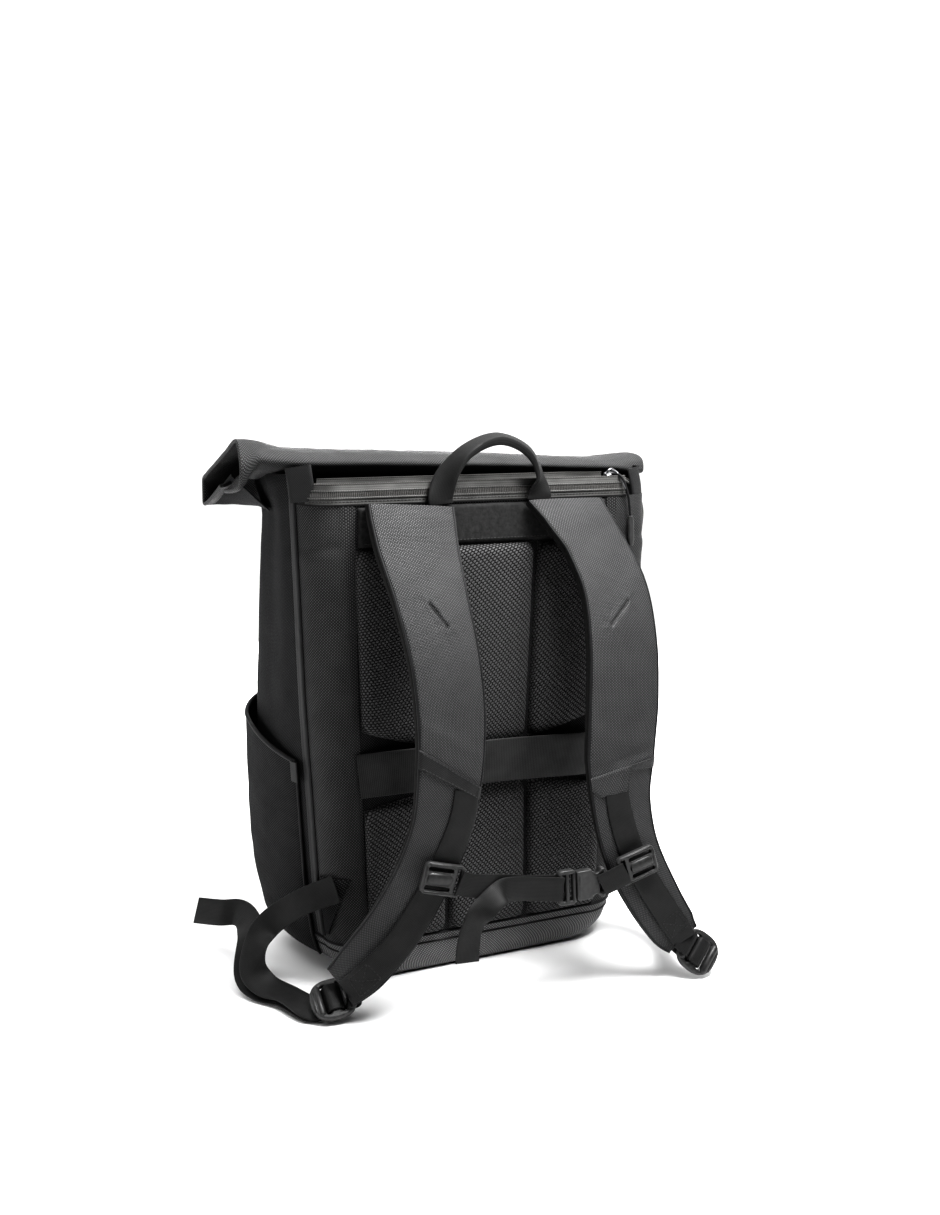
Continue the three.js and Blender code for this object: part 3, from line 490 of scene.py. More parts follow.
# Meshes
def make(name, node, points, faces, uvs, look, slot=None, sharp=CLOTH_SHARP):
    """A piece from points in millimetres, faces, and one (u, v) in metres for each corner of each face. It
    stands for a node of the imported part, if one is named."""
    points = np.asarray(points, float)
    corners = points[np.array([(f[0], f[i], f[i + 1]) for f in faces for i in range(1, len(f) - 1)])]
    volume = np.sum(corners[:, 0] * np.cross(corners[:, 1], corners[:, 2]))
    if volume < 0:
        faces = [f[::-1] for f in faces]
        uvs = [c[::-1] for c in uvs]
    mesh = bpy.data.meshes.new(name)
    mesh.from_pydata((points * MM).tolist(), [], faces)
    layer = mesh.uv_layers.new(name="UVMap")
    layer.data.foreach_set("uv", np.array([x for c in uvs for uv in c for x in uv], np.float32))
    mesh.shade_smooth()
    mesh.set_sharp_from_angle(angle=radians(sharp))
    mesh.validate()
    mesh.materials.append(LOOK[look])
    made = placed(name, mesh)
    slot = slot or SLOT.get(look, "shell")
    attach(made, "root")
    if node:
        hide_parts(node)
    return made


def run_lengths(line):
    line = np.asarray(line, float)
    return np.concatenate([[0], np.cumsum(np.linalg.norm(np.diff(line, axis=0), axis=1))])


def two_grids(rows, places, pair):
    """An outer and an inner grid, from a function that gives both points at a row and a place in it."""
    found = [[pair(r, c) for c in places] for r in rows]
    return [[[both[side] for both in line] for line in found] for side in (0, 1)]


def sheet(name, node, grids, look, ring=False):
    """A closed sheet between two grids of points with the same rows."""
    outer, inner = (np.asarray(grid, float) for grid in grids)
    rows, cols = outer.shape[:2]
    points = np.concatenate([outer.reshape(-1, 3), inner.reshape(-1, 3)])
    closed = np.concatenate([outer, outer[:, :1]], axis=1) if ring else outer
    across = np.mean([run_lengths(r) for r in closed], axis=0) * MM
    up = np.mean([run_lengths(outer[:, c]) for c in range(cols)], axis=0) * MM
    faces, uvs = [], []

    def quad(*corners):
        faces.append([side * rows * cols + r * cols + c % cols for side, r, c in corners])
        uvs.append([(across[c], up[r]) for side, r, c in corners])

    last = cols if ring else cols - 1
    end, top = cols - 1, rows - 1
    for r in range(top):
        for c in range(last):
            quad((0, r, c), (0, r, c + 1), (0, r + 1, c + 1), (0, r + 1, c))
            quad((1, r, c), (1, r + 1, c), (1, r + 1, c + 1), (1, r, c + 1))
        if not ring:
            quad((0, r, 0), (0, r + 1, 0), (1, r + 1, 0), (1, r, 0))
            quad((0, r, end), (1, r, end), (1, r + 1, end), (0, r + 1, end))
    for c in range(last):
        quad((0, 0, c), (1, 0, c), (1, 0, c + 1), (0, 0, c + 1))
        quad((0, top, c), (0, top, c + 1), (1, top, c + 1), (1, top, c))
    return make(name, node, points, faces, uvs, look)


def ring_faces(count, size):
    """The faces of a closed body through rings of points, each corner given by its ring and its place."""
    found = []
    for r in range(count - 1):
        for c in range(size):
            found.append([(r, c), (r, c + 1), (r + 1, c + 1), (r + 1, c)])
    found.append([(0, c) for c in reversed(range(size))])
    found.append([(count - 1, c) for c in range(size)])
    return found


def numbered(faces, size, first=0):
    return [[first + r * size + c % size for r, c in f] for f in faces]


def side_uvs(points, faces):
    return [[(points[i][0] * MM, points[i][2] * MM) for i in f] for f in faces]


def loft(name, node, rings, look, slot=None):
    """A closed body through rings of points."""
    rings = np.asarray(rings, float)
    count, size = rings.shape[:2]
    closed = np.concatenate([rings, rings[:, :1]], axis=1)
    across = np.mean([run_lengths(r) for r in closed], axis=0) * MM
    along = run_lengths(rings.mean(axis=1)) * MM
    faces = ring_faces(count, size)
    uvs = [[(across[c], along[r]) for r, c in f] for f in faces]
    return make(name, node, rings.reshape(-1, 3), numbered(faces, size), uvs, look, slot)


def flat_profile():
    """A flat band with rounded edges, as shares of half its width and half its thickness."""
    edge = 0.06
    bend = np.linspace(-pi / 2, pi / 2, 5)
    right = [(1 - edge + edge * cos(a), sin(a)) for a in bend]
    left = [(-x, -h) for x, h in right]
    top = [(s, 1.0) for s in np.linspace(1 - edge, -1 + edge, 6)[1:-1]]
    bottom = [(-s, -h) for s, h in top]
    return right + top + left + bottom


def pad_profile(across, power):
    """A padded band: full in the middle, rounded off to both edges, a little flatter behind."""
    front = [(s, (1 - abs(s) ** power) ** 0.5) for s in np.linspace(1, -1, across)]
    rear = [(s, -0.9 * (1 - abs(s) ** power) ** 0.5) for s in np.linspace(-1, 1, 14)[1:-1]]
    return front + rear


def folded_profile():
    """Webbing folded double: two rounded edges meet in a groove along one side."""
    top = [(s, 1.0 - 0.12 * s * s) for s in np.linspace(0.86, -0.86, 10)]
    left = [(-0.97, 0.6), (-1.0, 0.25), (-0.93, 0.0), (-1.0, -0.25), (-0.97, -0.6)]
    bottom = [(-s, -h) for s, h in top]
    right = [(0.97, -0.6), (1.0, -0.2), (1.0, 0.2), (0.97, 0.6)]
    return top + left + bottom + right


FLAT_BAND = flat_profile()
FOLDED_BAND = folded_profile()
CORD_BAND = [(cos(a), sin(a)) for a in turn(10)]


def band(name, node, rows, count, look="web", width=WEB, thick=WEB_THICK, profile=FLAT_BAND, press=None,
         slot=None):
    """A band along rows. press gives how far a point of the section is moved along the face direction."""
    rings = []
    for f in frames_along(rows, count):
        half = (f.width or width) / 2
        deep = (f.thick or thick) / 2
        rings.append([beside(f, s * half, h * deep + (press(f, s, h) if press else 0.0)) for s, h in profile])
    return loft(name, node, rings, look, slot)


def tube(name, path, radius, look, sides=8):
    """A round cord through points."""
    path = points_of(path)
    rings = []
    normal = None
    last = len(path) - 1
    for i, p in enumerate(path):
        along = unit(path[min(i + 1, last)] - path[max(i - 1, 0)])
        if normal is None:
            normal = unit(np.cross(along, vec(0.3, 0.2, 0.9)))
        normal = unit(normal - along * np.dot(normal, along))
        side = np.cross(along, normal)
        rings.append([p + radius * (cos(a) * normal + sin(a) * side) for a in turn(sides)])
    return loft(name, None, rings, look)


def beads(name, places, look, long, wide, high):
    """Small rounded grains, such as stitches or zip teeth: places are (point, direction, face)."""
    shares = ((-1.0, 0.25), (-0.8, 0.8), (0.0, 1.0), (0.8, 0.8), (1.0, 0.25))
    sides = 6
    template = []
    for s, r in shares:
        for a in turn(sides):
            template.append((s * long / 2, r * cos(a) * wide / 2, r * sin(a) * high / 2))
    template = np.array(template)
    one = ring_faces(len(shares), sides)
    points, faces = [], []
    for at, along, face in places:
        along = unit(along)
        side = unit(np.cross(along, face))
        faces.extend(numbered(one, sides, len(points)))
        points.extend(at + template @ np.array([along, side, np.cross(side, along)]))
    return make(name, None, points, faces, side_uvs(points, faces), look)


def along_line(points, faces_of, pitch):
    """Places spaced by pitch along a line of points, with their directions and face directions."""
    points = points_of(points)
    run = run_lengths(points)
    found = []
    for d in np.arange(pitch / 2, run[-1], pitch):
        i = max(min(int(np.searchsorted(run, d)) - 1, len(points) - 2), 0)
        t = (d - run[i]) / (run[i + 1] - run[i])
        a, b = points[i], points[i + 1]
        found.append((lerp(a, b, t), b - a, lerp(faces_of[i], faces_of[i + 1], t)))
    return found


def on_band(rows, count, shift, lift, start=0.0, end=1.0):
    """A line that lies on a band: its points and face directions."""
    found = frames_along(rows, count, start, end)
    points = [beside(f, shift, (f.thick or WEB_THICK) / 2 + lift) for f in found]
    return points, [f.face for f in found]


# Stitches and zip teeth: their spacing, and the length, width and height of a stitch
STITCH_PITCH = 3.4
STITCH = (2.4, 0.8, 0.6)
TOOTH_PITCH = 1.9


def sewn(name, lines, look="thread"):
    """Rows of stitches: each line is its points and the directions in which the cloth faces there."""
    places = [place for points, faces in lines for place in along_line(points, faces, STITCH_PITCH)]
    beads(name, places, look, *STITCH)


def inset_outline(outline, by):
    outline = points_of(outline)
    moved = []
    for i, p in enumerate(outline):
        along = unit(outline[(i + 1) % len(outline)] - outline[i - 1])
        moved.append(p + by * np.array([-along[1], along[0]]))
    return moved


def rounded_box(w, h, radius, x=0.0, y=0.0):
    found = []
    for cx, cy, first in ((1, 1, 0), (-1, 1, 90), (-1, -1, 180), (1, -1, 270)):
        for a in np.radians(np.linspace(first, first + 90, 5)):
            across = x + cx * (w / 2 - radius) + radius * cos(a)
            found.append((across, y + cy * (h / 2 - radius) + radius * sin(a)))
    return found


def oval(w, h, count, power):
    found = []
    for a in turn(count):
        c, s = cos(a), sin(a)
        found.append((w / 2 * copysign(abs(c) ** power, c), h / 2 * copysign(abs(s) ** power, s)))
    return found


def axes(middle, length, face):
    """A placing from a middle, the direction of the length (own Y) and the way the face looks (own Z)."""
    y = unit(length)
    x = unit(np.cross(y, face))
    placing = np.identity(4)
    placing[:3] = np.column_stack([x, y, np.cross(x, y), middle])
    return Matrix(placing.tolist())


def moulded(outline, holes, thick, bevel):
    """A moulded plate with rounded edges: its mesh in millimetres, flat in its own X and Y."""
    data = bpy.data.curves.new("moulding", "CURVE")
    data.dimensions = "2D"
    data.fill_mode = "BOTH"
    data.extrude = thick / 2 - bevel
    data.bevel_depth = bevel
    data.bevel_resolution = 3
    for line in [inset_outline(outline, bevel)] + [inset_outline(h, -bevel) for h in holes]:
        spline = data.splines.new("POLY")
        spline.points.add(len(line) - 1)
        for point, (x, y) in zip(spline.points, line):
            point.co = (x, y, 0, 1)
        spline.use_cyclic_u = True
    made = placed("moulding", data)
    mesh = bpy.data.meshes.new_from_object(made.evaluated_get(bpy.context.evaluated_depsgraph_get()))
    bpy.data.objects.remove(made)
    bpy.data.curves.remove(data)
    return mesh


def rod(start, end, radius, flat=1.0, sides=12):
    """A bar with rounded ends between two points, as a mesh in millimetres; flat squeezes it along Z."""
    start, end = vec(*start), vec(*end)
    along = unit(end - start)
    side = unit(np.cross(along, UP))
    up = flat * np.cross(side, along)
    length = np.linalg.norm(end - start)
    rings = ((0, 0.2), (0.12, 0.75), (0.35, 1), (1 - 0.35, 1), (1 - 0.12, 0.75), (1, 0.2))
    points = []
    for s, r in rings:
        at = start + along * (s * 2 * radius if s < 0.5 else length - (1 - s) * 2 * radius)
        points.extend(at + radius * r * (cos(a) * side + sin(a) * up) for a in turn(sides))
    mesh = bpy.data.meshes.new("rod")
    mesh.from_pydata([tuple(p) for p in points], [], numbered(ring_faces(len(rings), sides), sides))
    return mesh


def fitting(name, node, meshes, place):
    """One moulded fitting from meshes in millimetres, set on its axes."""
    points, faces = [], []
    for mesh in meshes:
        first = len(points)
        points.extend(np.array(place @ v.co) for v in mesh.vertices)
        faces.extend([first + i for i in p.vertices] for p in mesh.polygons)
        bpy.data.meshes.remove(mesh)
    return make(name, node, points, faces, side_uvs(points, faces), "plastic", sharp=MOULDED_SHARP)


# Camera at the photograph's viewing angle, with its tilt and turn in degrees
LOOKS_DOWN = 9.05
TURNED = 25.32
camera = placed("camera", bpy.data.cameras.new("camera"))
camera.data.sensor_width = 36
camera.data.lens = 39.35
camera.location = (-0.5274, -1.1727, 0.5338)
camera.rotation_euler = (radians(90 - LOOKS_DOWN), 0, radians(-TURNED))
studio.camera = camera

# Zip puller: a short cord with a moulded tip
CORD_ACROSS = 2.4
CORD_COUNT = 48
CORD_PLACES = ((138.5, -82.6, 460.5), (142, -92, 459), (149, -94.5, 441), (153.5, -92, 421))
PULL_CORD = [row(at, (1, 0, 0)) for at in CORD_PLACES]
TIP_FACE = (0.4, -1, 0)
PULL_TIP = [
    row((153.8, -91.8, 420.3), TIP_FACE, 5, 4),
    row((154.3, -91.4, 414), TIP_FACE, 7.5, 5),
    row((155.4, -90.6, 398), TIP_FACE, 7.5, 5),
    row((155.8, -90.4, 392), TIP_FACE, 4.5, 3.5),
]
pull_cord = band("pull_cord", "zip_pull_cord", PULL_CORD, CORD_COUNT, "binding", CORD_ACROSS, CORD_ACROSS,
                 CORD_BAND, slot="webbing")
pull_tip = band("pull_tip", "zip_pull_tip", PULL_TIP, 24, "plastic", profile=pad_profile(14, 3.0))
pull_route = [f.at * MM for f in frames_along(PULL_CORD, CORD_COUNT)]
run_lengths(pull_route)[-1]


# Panels of the wall
def wall_sheet(name, node, look, start, end, high, grid, push=lambda z, place: 0.0, thick=CLOTH):
    """A panel between two places of the wall, which may change with the height. grid is its cells across and
    up. push gives how far its cloth stands out of the wall."""
    first, last, top = (f if callable(f) else lambda t, f=f: f for f in (start, end, high))
    outer, inner = [], []
    for t in steps(grid[1]):
        line = [(lerp(LOW, top(s), t), s) for s in steps(grid[0], first(t), last(t))]
        line = [(z, s, push(z, s)) for z, s in line]
        outer.append([wall_point(z, s, -out) for z, s, out in line])
        inner.append([wall_point(z, s, thick - out) for z, s, out in line])
    sheet(name, node, (outer, inner), look)


def right_swell(z, place):
    """How far the cloth round the right rear seam stands out beside the closed run of the zip."""
    if place < FRONT_MIDDLE:
        return 0.0
    middle = 1.85 + 0.1 * smooth(400, 440, z)
    return 13.0 * smooth(180, 360, z) * hump(ROUND - place, middle, 0.3)


def side_folds(z, place):
    """One soft upright fold of a side panel, deepest under the roll, and slack cloth round it."""
    u = from_rear(place)
    side = 0.0 if place <= FRONT_MIDDLE else 7.3
    edge = smooth(2.0, 2.12, u) * (1 - smooth(3.15, 3.29, u)) * smooth(TRAY_TOP, 80, z)
    high = smooth(150, 440, z)
    drift = 0.16 * (SIDE_TOP - z) / 400
    folds = 2.2 * hump(u, 2.2 + drift, 0.14) - 2.4 * hump(u, 2.55 + drift, 0.16) + 1.6 * hump(u, 2.95, 0.12)
    slack = 1.0 * ripple((u * 60 + side * 9, z, 0), 65, side) + 0.35 * ripple((u * 60, z, 9), 24, side)
    flare = 9.0 * smooth(420, 466, z) * smooth(2.0, 2.5, u)
    return edge * (high * folds + slack + flare) + right_swell(z, place)


def front_folds(z, place):
    edge = smooth(3.3, 3.5, place) * (1 - smooth(6.5, 6.7, place)) * smooth(TRAY_TOP, 90, z)
    wide = 40 * (place - FRONT_MIDDLE)
    sag = 1.6 * ripple((wide, z * 0.7, 3), 60, 2.0) + 0.6 * ripple((wide, z, 5), 24, 4.0)
    creases = 1.4 * smooth(330, 430, z) * sin(place * 21 + 0.02 * z)
    return edge * (sag + creases)


def gusset_slack(z, place):
    """Slack of a gusset with a cross fold near its top; its edge lies over the rim of the back panel."""
    u = from_rear(place)
    inside = smooth(1, 1.15, u) * (1 - smooth(1.7, 1.95, u))
    fold = -1.3 * hump(z, 402 - 6 * (u - 1.5), 4.0) + 0.9 * hump(z, 393 - 6 * (u - 1.5), 7.0)
    rim = 0.9 * (1 - smooth(0.99, 1.12, u))
    return inside * (0.6 * ripple((u * 60, z, place), 40) + fold) + rim + right_swell(z, place)


def gusset_start(t):
    return lerp(1.0, 0.925, t)


def side_top(place):
    """The side panels reach up to the underside of the roll behind its open ends."""
    u = from_rear(place)
    return max(panel_top(place), 466 - 8 * smooth(2.4, 2.8, u) - 8 * smooth(2.85, 3.25, u))


GUSSET_GRID = (40, 150)
SIDE_GRID = (70, 150)
wall_sheet("back_cloth", "back_panel", "fine", SEAM - 1, 1 - SEAM, LAPTOP_TOP, (40, 40), thick=4)
wall_sheet("gusset_cloth_left", "gusset_left", "coarse", gusset_start, REAR_SEAM - SEAM, LAPTOP_TOP,
           GUSSET_GRID, gusset_slack)
wall_sheet("gusset_cloth_right", "gusset_right", "coarse", RIGHT_SEAM + SEAM,
           lambda t: ROUND - gusset_start(t), LAPTOP_TOP, GUSSET_GRID, gusset_slack)
wall_sheet("side_cloth_left", "side_panel_left", "fine", REAR_SEAM + SEAM, FRONT_SEAM - SEAM, side_top,
           SIDE_GRID, side_folds)
wall_sheet("side_cloth_right", "side_panel_right", "fine", ROUND - FRONT_SEAM + SEAM, RIGHT_SEAM - SEAM,
           side_top, SIDE_GRID, side_folds)
wall_sheet("front_cloth", "front_panel", "fine", FRONT_SEAM + SEAM, ROUND - FRONT_SEAM - SEAM, panel_top,
           (120, 130), front_folds)


# Base tray with its piped seam
def wall_lines(levels, count, inset):
    return [[wall_point(z, ROUND * k / count, inset) for k in range(count)] for z in levels]


TRAY_LEVELS = [TRAY_TOP * (k / 22) ** 1.5 for k in range(23)]
tray_rings = wall_lines(TRAY_LEVELS, 260, 0.0) + wall_lines(TRAY_LEVELS[:4:-2], 260, CLOTH)
loft("tray_cloth", "base_tray", tray_rings, "tray")
for name, rise, out, radius in (("low", -7.5, 0.2, 0.9), ("high", 0.2, 0.5, 1.1)):
    line = [wall_point(TRAY_TOP + rise, s, -out) for s in steps(300, 0, ROUND)]
    tube(f"tray_piping_{name}", line, radius, "binding")


# Divider and collar
def divider_grid(y):
    grid = []
    for z in [5, 11, 21, 39] + steps(40, 60, 456):
        half = -wall_point(min(z, LAPTOP_TOP) - 2, REAR_SEAM, CLOTH + 0.8)[0]
        grid.append([vec(x, y + 0.5 * ripple((x, z, 0), 60, 1.0), z) for x in steps(50, -half, half)])
    return grid


sheet("divider_cloth", "divider", [divider_grid(DIVIDER + side * CLOTH / 2) for side in (-1, 1)], "lining")

SLIT = Values(half=166, y=21, wide=9, z=451)
COLLAR = table("share rise", (0, 0), (0.08, 0.45), (0.3, 0.75), (0.7, 0.92), (1, 1))


def collar_rows(inset):
    rear_line = DIVIDER + CLOTH / 2 + GAP
    outline = []
    for s in steps(150, REAR_SEAM, RIGHT_SEAM):
        p = wall_point(panel_top(s) + GAP, s)
        outline.append(vec(p[0], max(p[1], rear_line), p[2]))
    end = outline[-1]
    outline += [vec(t * end[0], rear_line, end[2]) for t in steps(60, 1, -1)[1:-1]]
    deepest = max(p[1] for p in outline)
    widest = max(p[0] for p in outline)
    rows = []
    for share in steps(12):
        rise = column(COLLAR, "share", "rise", share)
        line = []
        for p in outline:
            t = clamp(2 * (p[1] - rear_line) / (deepest - rear_line) - 0.5) - 0.5
            lip = vec(p[0] * SLIT.half / widest, SLIT.y + t * SLIT.wide, SLIT.z)
            start = vec(p[0] * (1 - inset / widest), lerp(p[1], SLIT.y, inset / 80), 0)
            q = lerp(start, lip, share)
            crumple = 1.2 * arch(share) * (ripple((q[0], q[1], 0), 24, 6.0) - 1)
            z = lerp(p[2], SLIT.z, rise) - inset * 0.8 * min(1, share * 12) + crumple
            line.append(vec(q[0], q[1], z))
        rows.append(line)
    return rows


sheet("collar_cloth", "collar", (collar_rows(0), collar_rows(CLOTH)), "fine", ring=True)

# Rolled top: its section along the roll, at its open left end and at its right end, as (y, z)
ROLL_THICK = 3.0
ROLL_LEFT = -213
ROLL_RIGHT = 194.5
ROLL_FLAT = 432
ROLL_RIDGE = 480
END_REACH = 46
ROLL_LIFT = table("x lift", (-213, 14), (-165, 6), (-80, 3), (40, -2), (150, -8), (200, -9))
ROLL_PATH = [
    (21, 456.5), (-10, 461.5), (-36, 465.5), (-48, 471.5), (-42, 476), (-22, 480), (12, 479), (52, 474),
    (80, 466), (92, 452), (94.5, 438), (91.5, 432), (88, 437), (84, 450), (70, 460), (44, 466),
]
ROLL_END = [
    (8, 449), (-18, 451), (-40, 456), (-47, 467), (-45, 481), (-35, 494.5), (4, 483.5), (42, 471),
    (74, 460.5), (85, 455.5), (86.5, 443), (86, 432.5), (82, 432.5), (62, 438), (40, 446), (22, 453),
]
ROLL_CLOSED = [
    (21, 457), (-12, 459), (-40, 458.5), (-48, 461), (-47, 470), (-30, 475.5), (12, 473.5), (52, 468),
    (80, 460), (92, 449), (94.5, 437), (91.5, 432), (88, 437), (84, 448), (70, 456), (44, 460),
]


def roll_grids():
    """The roll through its width: a soft roll that opens out to a flatter, sharper left end."""
    sections = (ROLL_PATH, ROLL_END, ROLL_CLOSED)
    path, last, closed = (Curve([vec(0, y, z) for y, z in points]) for points in sections)

    def pair(x, t):
        lift = column(ROLL_LIFT, "x", "lift", x)
        reach = lerp(17, END_REACH, smooth(0.22, 0.36, t))
        shut = smooth(ROLL_RIGHT - 40, ROLL_RIGHT, x)
        open_out = 1 - smooth(ROLL_LEFT, ROLL_LEFT + reach, x)
        at = path.at(t)
        share = max(0.0, (at[2] - ROLL_FLAT) / (ROLL_RIDGE - ROLL_FLAT)) ** 1.5
        at = lerp(at + vec(0, 0, lift * share), last.at(t), open_out)
        at = lerp(at, closed.at(t), shut)
        along = lerp(path.along(t), last.along(t), open_out)
        normal = unit(vec(0, -along[2], along[1]))
        free = smooth(0.05, 0.2, t) * (1 - smooth(0.72, 0.85, t))
        broad = 1.1 * ripple((x * 0.6, at[1], at[2]), 34, 1.5)
        dent = free * (broad + 0.5 * ripple((x, at[1], at[2]), 15, 3.0))
        return [vec(x, at[1], at[2]) + normal * (side * ROLL_THICK / 2 + dent) for side in (1, -1)]

    open_end = ROLL_LEFT + END_REACH
    widths = steps(60, ROLL_LEFT, open_end) + steps(110, open_end, ROLL_RIGHT)[1:]
    return two_grids(widths, steps(150), pair)


sheet("roll_cloth", "roll_top", roll_grids(), "roll")
tube("roll_rim", Curve([vec(ROLL_LEFT, y, z) for y, z in ROLL_END]).line(150), 2.0, "roll", sides=10)


# Ears of the collar
def ear(side, sign):
    """Cloth of the collar that is folded up into the open end of the roll."""
    root = Curve([wall_point(PANEL_TOP + 2, s, -1.5) for s in (2.56, 2.78, 3.0, 3.2)])
    tip = Curve([(-205, 17, 464), (-207, 41, 453), (-209, 64, 442), (-210, 84, 433)])

    def pair(t, s):
        q = lerp(root.at(s), tip.at(s), t) + arch(t) * (1 - s) ** 2 * vec(-1, 3, 0)
        bulge = arch(t) * (1 + 0.8 * ripple((q[0], q[1], 0), 14, sign))
        return [vec(-sign * q[0], q[1], q[2] + bulge - below) for below in (0, CLOTH)]

    sheet(f"ear_cloth_{side}", f"ear_{side}", two_grids(steps(20), steps(30), pair), "fine")


for side, sign in SIDES:
    ear(side, sign)

# Harness face: yoke, mesh pads and trolley band
YOKE = Values(low=403, high=438, half=124, thick=3)


def yoke_pair(z, x):
    edge = min(z - YOKE.low, YOKE.half - abs(x), YOKE.high - z)
    slack = 0.35 * ripple((x, z * 0.4, 0), 14, 8.0) * edge_round(edge, 8)
    return vec(x, FACE - 0.6 - (YOKE.thick - 0.6) * edge_round(edge, 3) - slack, z), vec(x, FACE, z)


yoke_heights = steps(24, YOKE.low, YOKE.high)
yoke_widths = steps(140, -YOKE.half, YOKE.half)
sheet("yoke_cloth", "yoke", two_grids(yoke_heights, yoke_widths, yoke_pair), "velvet")
seam_half = YOKE.half - 4
yoke_seam = [vec(x, FACE - YOKE.thick - 0.1, YOKE.low + 3.5) for x in steps(60, -seam_half, seam_half)]
sewn("yoke_stitches", [(yoke_seam, [HARNESS] * len(yoke_seam))])

PAD = Values(half=126, groove=5, top=401, bottom=40, thick=10, round=11)


def pad_side(z):
    return lerp(118, 128, (z - 40) / 360)


def upper_edge(x):
    return 214 + 25 * (x / PAD.half) ** 2


def lower_edge(x):
    return 178 - 14 * (x / PAD.half) ** 2


def column_line(z):
    return lerp(41, 50, clamp((z - 214) / 187))


def pad(name, node, left, right, bottom, top):
    """A foam pad under mesh: bevelled edges, rounded corners and a slightly full middle."""
    def pair(v, u):
        guess = lerp(bottom(0), top(0), v)
        x = lerp(left(guess), right(guess), u)
        z = lerp(bottom(x), top(x), v)
        dx = min(u, 1 - u) * (right(z) - left(z))
        dz = min(v, 1 - v) * (top(x) - bottom(x))
        r = PAD.round
        edge = min(dx, dz)
        if dx < r and dz < r:
            edge = r - hypot(r - dx, r - dz)
        high = 0.25 * edge_round(edge, 1.5) + 0.6 * edge_round(edge, 11) + 0.15 * edge_round(edge, 45)
        high += 0.02 * ripple((x, z, 0), 30, 2.5) * edge_round(edge, 12)
        return vec(x, FACE - 0.2 - (PAD.thick - 0.2) * high, z), vec(x, FACE, z)

    made = sheet(name, node, two_grids(steps(84), steps(64), pair), "mesh")
    return made


HALF_GROOVE = PAD.groove / 2
PAD_COLUMNS = {
    "left": (lambda z: -pad_side(z), lambda z: -column_line(z) - HALF_GROOVE),
    "center": (lambda z: -column_line(z) + HALF_GROOVE, lambda z: column_line(z) - HALF_GROOVE),
    "right": (lambda z: column_line(z) + HALF_GROOVE, pad_side),
}
for place, (left, right) in PAD_COLUMNS.items():
    pad(f"upper_pad_{place}", f"pad_upper_{place}", left, right, upper_edge, lambda x: PAD.top)
    pad(f"lower_pad_{place}", f"pad_lower_{place}", left, right, lambda x: PAD.bottom, lower_edge)

TROLLEY = [
    row((-127, -93.8, 198), (-0.2, -1, 0)),
    row((-96, -104, 201), (-0.2, -1, 0)),
    row((-50, -109.5, 202), HARNESS),
    row((0, -110, 202), HARNESS),
    row((50, -109.5, 200), HARNESS),
    row((96, -104, 196), (0.2, -1, 0)),
    row((127, -93.8, 193), (0.2, -1, 0)),
]
band("trolley_webbing", "trolley_band", TROLLEY, 120, "band", 41, 2.0)

HANDLE = [
    row((-47, -97, 439), HARNESS, 24, 2.4),
    row((-47.5, -97.2, 445), (0, -1, 0.1), 24, 2.4),
    row((-42, -99, 464), (-0.55, -0.8, 0.2), 21, 4),
    row((-24, -101, 485), (-0.75, -0.45, 0.5), 16, 7),
    row((8, -101, 496), (0, -0.3, 1), 14, 9),
    row((38, -101, 484), (0.75, -0.45, 0.5), 16, 7),
    row((51, -99, 463), (0.75, -0.6, 0.2), 21, 4),
    row((52, -97.2, 445), (0, -1, 0.1), 24, 2.4),
    row((51, -97, 439), HARNESS, 24, 2.4),
]
band("handle_webbing", "grab_handle", HANDLE, 140, profile=FOLDED_BAND)


# Laptop zip: tapes along both lips, teeth, closed run, slider and end tabs
def lip_tape(name, node, points, low, high, thick, lean):
    def pair(z, p):
        inward = vec(-copysign(0.5, p[0]) if abs(p[0]) > 100 else 0, 1, 0)
        slack = 0.4 * ripple((p[0], p[1], z), 18, 5.0)
        q = vec(p[0], p[1], z) + inward * (lean * (z - low) / (high - low) + slack)
        return q, q + inward * thick

    grids = two_grids(steps(12, low, high), points, pair)
    sheet(name, node, grids, "tape")
    return grids[0]


REAR_LIP = [wall_point(LAPTOP_TOP, s, 0.4) for s in steps(120, 1.66, -1.25)]
FRONT_LIP = [vec(x, DIVIDER - 3 - 13 * smooth(95, 134, x), 0) for x in steps(80, -150, 132)]
rear_tape = lip_tape("rear_tape", "zip_tape_rear", REAR_LIP, LAPTOP_TOP + GAP, ZIP_TOP, 1.6, 2)
front_tape = lip_tape("front_tape", "zip_tape_front", FRONT_LIP, 446, 462, 1.4, 0)


def lip_teeth(line):
    """Teeth across the top edge of a tape, standing up from it."""
    line = [p + vec(0, 0.8, -0.3) for p in line]
    return [(at, np.cross(UP, along), UP) for at, along, face in along_line(line, line, TOOTH_PITCH)]


OUTWARD = vec(0, -0.5, 0)
for name, level in (("low", 4), ("high", 8)):
    tube(f"tape_ridge_{name}", [p + OUTWARD for p in rear_tape[level]], 0.8, "tape", sides=6)
# A dark cord along the foot of the rear tape paints the shadow in the gap under it.
tube("painted_mouth_shadow", [p + vec(0, -0.8, 0.2) for p in rear_tape[0]], 1.0, "lining", sides=6)
tape_seam, cover_line = ([p + OUTWARD * 0.4 for p in rear_tape[level]] for level in (2, 6))
sewn("tape_stitches", [(tape_seam, [HARNESS] * len(tape_seam))])
cover_teeth = [(at, UP, HARNESS) for at, along, face in along_line(cover_line, cover_line, 1.7)]
beads("cover_teeth", cover_teeth, "coil", 4.6, 1.2, 1.2)
beads("lip_teeth", lip_teeth(rear_tape[-1]) + lip_teeth(front_tape[-1]), "coil", 3.2, 1.2, 1.6)


def on_right_seam(z):
    return wall_point(z, RIGHT_SEAM, -2.3 - right_swell(z, RIGHT_SEAM))


